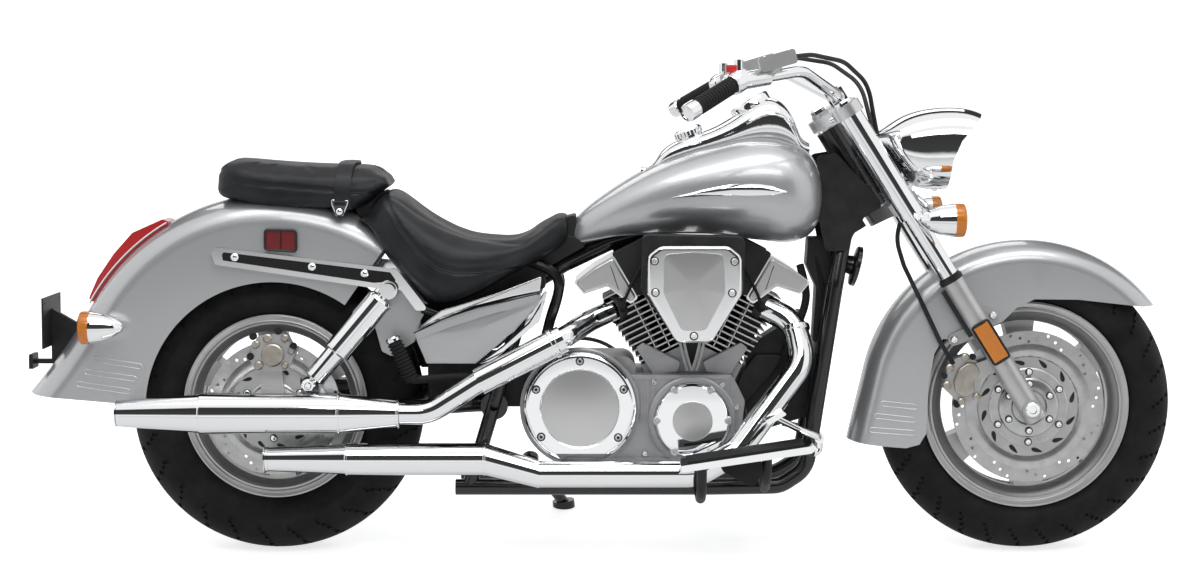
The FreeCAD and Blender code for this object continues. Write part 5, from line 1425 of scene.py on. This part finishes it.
buckles, pins, hasps = empty_shapes(3)
BUCKLE = [(133, 789), (173, 787), (170, 775), (160, 752), (144, 752), (135, 775)]
HASP = [(139, 784), (167, 782.5), (165, 775), (140, 775)]
for side in (-1, 1):
    side_plate(buckles, BUCKLE, side * 118, side * 130, corner=5, roll=2)
    side_plate(hasps, HASP, side * 128, side * 131, corner=3, roll=0.8)
    lathe(hasps, [(0, 0), (0, 10.5), (1.5, 10), (1.5, 0)], (152, side * 129.5, 762), (0, side, 0), steps=28)
    lathe(pins, [(0, 0), (0, 8), (3, 7.4), (5, 4.8), (5.6, 0)], (152, side * 130.5, 762), (0, side, 0),
          steps=20)
settle("strap_buckles", buckles, chrome, "frame")
settle("strap_pins", pins, chrome, "frame")
settle("strap_hasps", hasps, grip_rubber, "frame")

# %% [markdown]
# The wheels are cast discs with six windows. Each brake disc is a drilled ring bolted to a stepped carrier
# with slanted cut-outs. The ring and the carrier are flat outlines with holes: the outer edge, the inner
# edge and every hole go in as loops of edges, one fill operator makes the face between them, and an
# extrusion gives it thickness.

# %% Drilled discs
HOLE_ROWS = 12
HOLE_R = 3.4
CUT_OUTS = 12
HUB_STEPS = [(0, 88), (6, 87), (8, 84), (8, 68), (14, 65), (17, 60), (17, 40), (13, 36), (13, 24), (20, 22),
             (20, 0)]


def loop_edges(shape, points):
    """A closed loop of edges from 3-D points."""
    verts = [shape.verts.new(p) for p in points]
    return [shape.edges.new((a, b)) for a, b in zip(verts, verts[1:] + verts[:1])]


def circle(x, z, radius, y, count=64):
    """Points round a hole or rim, in the wheel's plane."""
    return [(x + radius * math.cos(math.tau * i / count), y, z + radius * math.sin(math.tau * i / count))
            for i in range(count)]


def pierced(shape, loops, thick):
    """Fill the face between loops and give it thickness across the machine."""
    edges = [edge for loop in loops for edge in loop_edges(shape, loop)]
    made = bmesh.ops.triangle_fill(shape, use_beauty=True, use_dissolve=False, edges=edges)
    faces = [g for g in made["geom"] if isinstance(g, bmesh.types.BMFace)]
    grown = bmesh.ops.extrude_face_region(shape, geom=faces)
    moved = [g for g in grown["geom"] if isinstance(g, bmesh.types.BMVert)]
    bmesh.ops.translate(shape, vec=(0, thick, 0), verts=moved)


def teardrop(axle, y, middle, turn, long, wide):
    """A slanted drop-shaped cut-out at a radius and an angle."""
    out = []
    for i in range(14):
        t = math.tau * i / 14
        along = long * math.cos(t)
        across = wide * math.sin(t) * (1 - 0.5 * math.cos(t))
        slant = turn + math.radians(62)
        x = middle * math.cos(turn) + along * math.cos(slant) - across * math.sin(slant)
        z = middle * math.sin(turn) + along * math.sin(slant) + across * math.cos(slant)
        out.append((axle.x + x, y, axle.z + z))
    return out


def brake_disc(name, axle, outer, inner, y_out, y_in, steel, node, body):
    """A ring with rows of holes, standing for the plain disc solid."""
    ring = bmesh.new()
    holes = []
    for k in range(HOLE_ROWS):
        for step, radius in enumerate((inner + (outer - inner) * f for f in (0.22, 0.50, 0.78))):
            turn = math.tau * (k + step * 0.24) / HOLE_ROWS
            x, z = axle.x + radius * math.cos(turn), axle.z + radius * math.sin(turn)
            holes.append(circle(x, z, HOLE_R, y_out, 10))
    loops = [circle(axle.x, axle.z, outer, y_out, 96), circle(axle.x, axle.z, inner, y_out, 96)] + holes
    pierced(ring, loops, y_in - y_out)
    return settle(name, ring, steel, body, stands_for=(node,))


brake_disc("front_disc_ring", FRONT_AXLE, 168, 138, -84, -79, front_steel, "front_disc", "front_wheel")
brake_disc("rear_disc_ring", REAR_AXLE, 148, 118, -101, -96, rear_steel, "rear_disc", "rear_wheel")

# %% [markdown]
# The carrier steps outward from the ring to the hub like a shallow dish. Its outer step is turned on the
# lathe, the flat with the slanted cut-outs is filled like the ring, and a machined boss with two circles of
# bolts sits in the middle. The rear one is much flatter and has one circle, because the caliper's arm
# passes close over it.

# %% Carriers, hubs and disc bolts
HUBS = [("front", FRONT_AXLE, -84, 139, "front_wheel", front_steel, 1.0, 6, 2),
        ("rear", REAR_AXLE, -101, 119, "rear_wheel", rear_steel, 0.28, 3, 1)]
for name, axle, y, big_r, body, steel, tall, head, circles in HUBS:
    scale = big_r / 139
    step = bmesh.new()
    lathe(step, [(-4, big_r + 1), (3, big_r), (5, 128 * scale), (5, 118 * scale), (3, 114 * scale),
                 (3, 110 * scale), (-4, 108 * scale)], (axle.x, y, axle.z), (0, -1, 0), steps=96)
    settle(name + "_carrier_rim", step, steel, body)
    flat = bmesh.new()
    turns = [math.tau * (k + 0.4) / CUT_OUTS for k in range(CUT_OUTS)]
    cuts = [teardrop(axle, y - 3, 100 * scale, turn, 13 * scale, 4.6 * scale) for turn in turns]
    rings = [circle(axle.x, axle.z, 113 * scale, y - 3, 96), circle(axle.x, axle.z, 70 * scale, y - 3, 72)]
    pierced(flat, rings + cuts, 4)
    settle(name + "_carrier", flat, cast, body)
    dark = bmesh.new()
    lathe(dark, [(0.5, 70 * scale), (0.5, 112 * scale), (-1, 112 * scale), (-1, 70 * scale)],
          (axle.x, y, axle.z), (0, -1, 0), steps=72)
    settle(name + "_carrier_back", dark, heat_black, body)
    hub = bmesh.new()
    lathe(hub, [(high * tall, r * scale) for high, r in HUB_STEPS], (axle.x, y, axle.z), (0, -1, 0), steps=80)
    settle(name + "_hub_cap", hub, steel, body)
    nuts, washers = empty_shapes(2)
    for radius, foot in ((78 * scale, 8 * tall), (52 * scale, 17 * tall))[:circles]:
        for k in range(6):
            turn = math.radians(30 + 60 * k)
            spot = (axle.x + radius * math.cos(turn), y - foot, axle.z + radius * math.sin(turn))
            bolt(nuts, spot, (0, -1, 0), 6.4, head)
            lathe(washers, [(0, 6), (0, 8.6), (1.6, 8.6), (1.6, 6)], spot, (0, -1, 0), steps=20)
    settle(name + "_disc_bolts", nuts, chrome, body)
    settle(name + "_disc_washers", washers, heat_black, body)

# %% [markdown]
# The rim's edge has a thin turned rib against the tyre, and inside it the metal runs down in a shallow bowl
# to the windows, with one more rib on the way. Both sides of each wheel get the same bowl and a face with
# six windows.

# %% Rim bowls, spokes and valves
for name, axle, bead, window, y, body in (("front", FRONT_AXLE, 217, 188, 54, "front_wheel"),
                                          ("rear", REAR_AXLE, 191.5, 168, 68, "rear_wheel")):
    turned = bmesh.new()
    for side in (-1, 1):
        lathe(turned, [(-2, bead + 12.4), (1.4, bead + 12), (2.2, bead + 9.5), (1.2, bead + 7),
                       (1.0, bead + 1), (2.2, bead - 1), (1.2, bead - 3), (-3, bead - 7), (-7, bead - 13),
                       (-10, window + 10), (-16, window + 3), (-20, window), (2 - y, window),
                       (2 - y, bead - 8.6)],
              (axle.x, side * y, axle.z), (0, side, 0), steps=120)
    settle(name + "_rim_bowls", turned, cast, body)
    spokes = bmesh.new()
    for side in (-1, 1):
        holes = []
        for k in range(6):
            middle, half = math.radians(4 + 60 * k), math.radians(19.5)
            arc = [middle - half + 2 * half * i / 10 for i in range(11)]
            holes.append([(axle.x + r * math.cos(t), side * 11.2, axle.z + r * math.sin(t))
                          for r, way in ((window - 2, arc), (112 * bead / 217, arc[::-1])) for t in way])
        pierced(spokes, [circle(axle.x, axle.z, window + 0.5, side * 11.2, 96),
                         circle(axle.x, axle.z, 66, side * 11.2, 48)] + holes, side * (y - 36))
    settle(name + "_spokes", spokes, cast, body)
    valve = bmesh.new()
    foot = (axle.x + (bead - 24) * 0.7, -6, axle.z - (bead - 24) * 0.7)
    lathe(valve, [(0, 0), (0, 4.2), (14, 4), (16, 3), (26, 3), (26, 0)], foot, (-0.7, 0, 0.7), steps=12)
    settle(name + "_valve", valve, grip_rubber, body)

# %% [markdown]
# The fork's lower legs are cast, with pinch bolts, fender bolts and an amber reflector in a black frame.
# Its fittings are drawn along the raked leg, so they go through the fork function. The caliper is plated a
# greyish gold, with a smooth bean-shaped cap over its two pistons.

# %% Fork fittings and the front caliper
fork_bolts, fork_dark = empty_shapes(2)
along_fork = (fork(0, 0, 100) - fork(0, 0, 0)).normalized()
ahead_fork = (fork(100, 0, 0) - fork(0, 0, 0)).normalized()
for side in (-1, 1):
    for x, z in ((-81, 203), (-166, 149)):
        bolt(fork_bolts, FRONT_AXLE + Vector((x, side * 91, z)), (0, side, 0), 8.5, 7)
    lathe(fork_bolts, [(0, 0), (0, 17), (6, 16), (9, 13), (9, 9), (4, 8), (4, 0)],
          FRONT_AXLE + Vector((0, side * 142, 0)), (0, side, 0), steps=36)
    bolt(fork_bolts, fork(FORK_OFFSET + 14, side * (LEG_Y + 20), -14), (0, side, 0), 5.0, 4)
    for low, high, ring_r in ((331, 341, 27.5), (341, 346, 24.5)):
        lathe(fork_dark, [(0, 21), (0, ring_r), (high - low, ring_r), (high - low, 21)],
              fork(FORK_OFFSET, side * LEG_Y, low), along_fork, steps=48)
    corners = [(-19.5, 127), (19.5, 127), (19.5, 223), (-19.5, 223)]
    loop = [fork(FORK_OFFSET + f, side * (LEG_Y + 26.5), t) for f, t in corners]
    cord_mesh(fork_dark, dense(loop + loop[:1], 10)[:-1], 3.0, closed=True)
guard = [fork(FORK_OFFSET - 26, -LEG_Y + 2, t) for t in (205, 240, 280, 322)]
cord_mesh(fork_dark, guard, 8.5)
settle("fork_bolts", fork_bolts, chrome, "steering")
settle("fork_seals", fork_dark, plastic, "steering")

caliper = bmesh.new()
side_plate(caliper, [(FRONT_AXLE.x + x, FRONT_AXLE.z + z) for x, z in
                     ((-164, 34), (-140, 22), (-122, 36), (-124, 58), (-110, 78), (-118, 98), (-138, 100),
                      (-158, 84), (-168, 58))], -98, -112, corner=12, roll=4)
for x, z, r in ((-176, 88, 9), (-182, 50, 9), (-150, 14, 8), (-116, 24, 8), (-142, 112, 9)):
    lathe(caliper, [(0, 0), (0, r), (14, r), (17, r * 0.6), (17, 0)], FRONT_AXLE + Vector((x, -94, z)),
          (0, -1, 0), steps=18)
settle("front_caliper_cap", caliper, gold, "steering")
front_pins = bmesh.new()
for x, z in ((-160, 6), (-188, 70), (-126, 112)):
    lathe(front_pins, [(0, 0), (0, 7), (12, 7), (12, 4), (16, 4), (16, 0)], FRONT_AXLE + Vector((x, -92, z)),
          (0, -1, 0), steps=16)
settle("front_caliper_pins", front_pins, plastic, "steering")

rear_cap = bmesh.new()
lathe(rear_cap, [(0, 0), (0, 25), (5, 25), (8, 22), (8, 0)], (3, -130, 447), (0, -1, 0), steps=48)
for x, z, r in ((-34, 470, 9), (-8, 484, 10), (30, 484, 9), (44, 456, 8), (30, 424, 8), (-28, 424, 10)):
    lathe(rear_cap, [(0, 0), (0, r), (6, r), (9, r * 0.7), (9, 0)], (x, -127, z), (0, -1, 0), steps=20)
settle("rear_caliper_cap", rear_cap, gold, "frame")
rear_pins = bmesh.new()
for x, z in ((-46, 444), (48, 466), (-40, 488), (16, 500)):
    lathe(rear_pins, [(0, 0), (0, 8), (14, 8), (14, 4.5), (20, 4.5), (20, 0)], (x, -118, z), (0, -1, 0),
          steps=16)
settle("rear_caliper_pins", rear_pins, plastic, "frame")

# %% [markdown]
# The headlight has a chrome rim round its glass, and the signal lamps look forward through amber caps. The
# instrument of a cruiser is on the tank, so the top of the fork is bare apart from its clamp bolts and
# caps.

# %% Headlight, signals and fork top
lamp_rim = bmesh.new()
lathe(lamp_rim, [(-4, 82.3), (-4, 89), (3, 91), (8, 89), (10, 85), (8, 81.5), (-4, 81.5)],
      LAMP + Vector((4, 0, 0)), (1, 0, 0), steps=72)
settle("headlight_rim", lamp_rim, chrome, "steering")
amber_rings = bmesh.new()
for side in (-1, 1):
    spot = Vector((SIGNAL.x, side * 190, SIGNAL.z))
    lathe(amber_rings, LENS_RING, spot, (1, 0, 0), steps=48)
settle("signal_lenses", amber_rings, amber, "steering")

fork_top = bmesh.new()
for side in (-1, 1):
    lathe(fork_top, [(0, 0), (0, 19), (7, 19), (10, 16), (10, 9), (7, 8), (7, 0)],
          fork(FORK_OFFSET, side * LEG_Y, 784), along_fork, steps=6)
    bolt(fork_top, fork(FORK_OFFSET - 38, side * LEG_Y, 771), -ahead_fork, 6, 7)
lathe(fork_top, [(0, 0), (0, 17), (9, 17), (13, 13), (13, 0)], fork(0, 0, 792), along_fork, steps=6)
settle("fork_caps", fork_top, chrome, "steering")

# %% [markdown]
# The grips are ribbed rubber between a chrome end cap and a chrome collar. The right switch box carries a
# red stop switch, and each reservoir has a lid with two screws.

# %% Grips, switches and reservoir
RIB_STEP = ((0, 17.2), (1, 18.8), (6.4, 18.8), (7.4, 17.2))
RIB_COUNT = 12
ends, rubber, lids = empty_shapes(3)
for side in (-1, 1):
    inner = Vector((GRIP_INNER.x, side * abs(GRIP_INNER.y), GRIP_INNER.z))
    end = Vector((GRIP_END.x, side * abs(GRIP_END.y), GRIP_END.z))
    run = (end - inner).normalized()
    long = (end - inner).length
    grip_ribs = [(26 + 9 * i + step, r) for i in range(RIB_COUNT) for step, r in RIB_STEP]
    lathe(rubber, [(20, 17)] + grip_ribs + [(138, 17)], inner, run, steps=36)
    lathe(ends, [(long - 16, 17), (long - 14, 19.6), (long + 6, 19.6), (long + 12, 18), (long + 14, 12),
                 (long + 12, 11), (long + 12, 0)], inner, run, steps=40)
    lathe(ends, [(-6, 23), (-4, 24.6), (8, 24.6), (14, 23.4), (20, 21), (20, 16)], inner, run, steps=40)
    for x, z in ((60, 51), (112, 66)):
        place = Vector((GRIP_INNER.x + x, side * 307, GRIP_INNER.z + z))
        bolt(lids, place, (-0.275, 0, 0.961), 3.4, 3)
red = bmesh.new()
bar(red, (24, 14, 16), (0, 0, 0))
bmesh.ops.bevel(red, geom=list(red.edges), offset=2.0, affect="EDGES", segments=2, profile=0.5, material=-1)
for v in red.verts:
    v.co += GRIP_INNER + Vector((-10, 4, 28))
settle("grip_ribs", rubber, grip_rubber, "steering")
settle("grip_ends", ends, chrome, "steering")
settle("reservoir_screws", lids, chrome, "steering")
settle("stop_switch", red, switch_red, "steering")
print("grip length", round((GRIP_END - GRIP_INNER).length, 1))

# %% [markdown]
# Each silencer is made of sections that meet in fine raised seams, and ends in a tip that is black inside: a
# black disc just inside the lip stands for soot and for the shade in the open pipe, so it is partly painted
# shade.
# A chrome band clamps each header, and a dark sleeve closes the port it comes from.

# %% Silencer seams, tips and header clamps
seams, soot_and_shade, sleeves = empty_shapes(3)
SEAMS = [(-200, 327, ((-145, 42.6), (155, 45.3), (283, 31.4))), (-190, 226, ((170, 35.6), (470, 35.8)))]
for y, z, stops in SEAMS:
    for x, r in stops:
        lathe(seams, [(-3, r - 2), (-2.6, r), (-0.8, r + 1.1), (0.8, r + 1.1), (2.6, r), (3, r - 2)],
              (x, y, z), (1, 0, 0), steps=64)
for x, y, z, r in ((-325, -200, 327, 28), (-6, -190, 226, 30)):
    lathe(seams, [(-1, r + 0.4), (-3.2, r + 0.4), (-4.2, r - 1.6), (-3.2, r - 3), (6, r - 3)], (x, y, z),
          (1, 0, 0), steps=64)
    # A black disc inside each tip: soot, and painted shade of the open pipe.
    lathe(soot_and_shade, [(-1.2, 0), (-1.2, r - 2.6), (-0.4, r - 2.6), (-0.4, 0)], (x, y, z), (1, 0, 0), steps=48)
REAR_HEADER = [(762, -50, 545), (700, -88, 520), (634, -172, 484), (457, -190, 394), (350, -200, 327)]
FRONT_HEADER = [(1075, -52, 552), (1150, -82, 515), (1166, -120, 430), (1020, -172, 240), (930, -190, 193)]
for points, index, r in ((REAR_HEADER, 2, 31.5), (FRONT_HEADER, 1, 30.5)):
    here = Vector(points[index])
    run = (Vector(points[index + 1]) - here).normalized()
    lathe(seams, [(10, r - 3), (10, r), (12, r + 1.6), (20, r + 1.6), (22, r), (22, r - 3)], here, run,
          steps=48)
for points in (REAR_HEADER, FRONT_HEADER):
    port, next_one = Vector(points[0]), Vector(points[1])
    run = (next_one - port).normalized()
    lathe(sleeves, [(0, 32), (0, 36), (14, 36), (18, 33), (18, 30)], port, run, steps=40)
settle("pipe_seams", seams, chrome, "frame")
settle("pipe_mouth_soot_and_shade", soot_and_shade, heat_black, "frame")
settle("port_sleeves", sleeves, heat_black, "frame")

# %% [markdown]
# Deep between the cylinders sit the throttle bodies, and in front of the engine a coolant junction and its
# hoses fill the gap behind the down tubes. Behind it are the battery box, the pan under the seats and two
# bends of frame tube. They are simple black shapes; what matters is that no daylight shows where the real
# machine is full. Their black stands for those dark parts and also for the shade that falls between them, so
# part of it is painted shade.

# %% Things between the decks
inside = bmesh.new()
side_plate(inside, [(884, 392), (964, 392), (950, 470), (946, 505), (902, 505), (898, 470)], 66, -66,
           corner=6)
for x, r in ((884, 26), (964, 26)):
    lathe(inside, [(-95, 0), (-95, r), (-88, r + 3), (88, r + 3), (95, r), (95, 0)], (x, 0, 640), (0, -1, 0),
          steps=32)
settle("throttle_bodies", inside, heat_black, "frame")
hoses = bmesh.new()
COOLANT_HOSE = [(1165, -44, 640), (1176, -56, 600), (1180, -58, 560), (1158, -62, 500), (1130, -60, 440)]
THIN_HOSE = [(1190, -30, 690), (1206, -42, 640), (1222, -44, 560), (1226, -40, 470)]
cord_mesh(hoses, COOLANT_HOSE, 9)
cord_mesh(hoses, THIN_HOSE, 4)
settle("hoses", hoses, grip_rubber, "frame")
# Black plates behind the down tubes and inside the fins: dark parts there, and painted shade between them.
junction = bmesh.new()
side_plate(junction, [(1066, 440), (1130, 440), (1102, 396), (1046, 334), (1046, 252), (1016, 247),
                      (1016, 330), (1034, 396)], 52, -58, corner=8, roll=3)
side_plate(junction, [(1184, 700), (1232, 700), (1236, 590), (1212, 466), (1196, 466), (1202, 590),
                      (1180, 640)], 34, -40, corner=8, roll=2)
side_plate(junction, [(1046, 452), (1130, 508), (1172, 540), (1188, 420), (1184, 300), (1060, 262),
                      (1046, 330)], 40, -40, corner=8)
FIN_WALL = [(742, 556), (800, 555), (862, 402), (832, 402)]
for wall in (FIN_WALL, mirrored(FIN_WALL)):
    side_plate(junction, wall, 62, -62, corner=4)
settle("coolant_junction_and_shade", junction, plastic, "frame")
# Black plates under the seats: dark parts there, and painted shade between them.
fillers = bmesh.new()
BATTERY_BOX = [(340, 325), (338, 438), (596, 438), (596, 325)]
SEAT_PAN = [(266, 640), (330, 566), (322, 520), (330, 482), (400, 520), (600, 590), (600, 640), (560, 648),
            (420, 604)]
SEAT_NOSE = [(640, 745), (668, 752), (668, 690), (640, 700)]
SEAT_STEP = [(180, 762), (240, 804), (262, 798), (242, 745), (196, 744)]
SPINE_COVER = [(572, 650), (601, 632), (690, 682), (668, 702), (640, 706), (620, 684)]
for outline, half in ((BATTERY_BOX, 66), (SEAT_PAN, 62), (SEAT_NOSE, 46), (SEAT_STEP, 66), (SPINE_COVER, 48)):
    side_plate(fillers, outline, half, -half, corner=6, roll=2)
settle("battery_box_pan_and_shade", fillers, plastic, "frame")
bends = bmesh.new()
BEND = [(560, 650), (606, 636), (634, 606), (624, 556), (606, 508), (590, 430)]
for side in (-1, 1):
    cord_mesh(bends, [(x, side * 62, z) for x, z in BEND], 12, sides=16)
settle("frame_bends", bends, frame_black, "frame")

# %% [markdown]
# The floorboards are chrome plates with a rubber pad, and a dark bracket hangs under each. The passenger's
# pegs are stacked rubber rings with a chrome end.

# %% Footboard pads and pegs
pads, pegs, peg_ends = empty_shapes(3)
for side in (-1, 1):
    side_plate(pads, [(906, 233), (1156, 271), (1156, 277), (906, 239)], side * 221, side * 319)
    side_plate(pads, [(977, 226), (1066, 239), (1069, 212), (1052, 186), (1035, 186), (985, 214)], side * 236,
               side * 300, corner=5, roll=2)
    foot, tip = Vector((312, side * 166, 394)), Vector((271, side * 166, 485))
    run = (tip - foot).normalized()
    long = (tip - foot).length
    profile = [(4, 0), (4, 14)]
    for k in range(11):
        profile += [(6 + 8 * k, 14), (7 + 8 * k, 17), (11 + 8 * k, 17), (12 + 8 * k, 14)]
    lathe(pegs, profile + [(long - 4, 14), (long - 4, 0)], foot, run, steps=32)
    lathe(peg_ends, [(long - 4, 0), (long - 4, 16.5), (long + 3, 16.5), (long + 6, 14), (long + 6, 0)], foot,
          run, steps=32)
settle("foot_rubbers", pads, grip_rubber, "frame")
settle("peg_rubbers", pegs, grip_rubber, "frame")
settle("peg_ends", peg_ends, chrome, "frame")

# %% [markdown]
# The shock absorbers hide their springs inside chrome covers, as on the real machine. A bolt holds the foot
# of each, and fine rings mark where the covers slide into each other.

# %% Shock ends
ends = bmesh.new()
for side in (-1, 1):
    lathe(ends, [(-4, 0), (-4, 15), (2, 15), (5, 12), (5, 0)], (85, side * 170, 384), (0, side, 0), steps=32)
    bolt(ends, (85, side * 174, 384), (0, side, 0), 8, 7)
    top = Vector((259, side * 160, 591))
    run = (Vector((85, side * 160, 384)) - top).normalized()
    for along, r in ((28, 30.2), (170, 30.2), (246, 23.4)):
        lathe(ends, [(along - 2, r - 1), (along - 2, r + 0.9), (along + 2, r + 0.9), (along + 2, r - 1)], top,
              run, steps=48)
settle("shock_ends", ends, chrome, "frame")

# %% [markdown]
# The last step prints the size of the dressed machine's box.

# %% Sizes, then the end
low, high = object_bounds()
print("dressed box", [round(v, 3) for v in high - low])
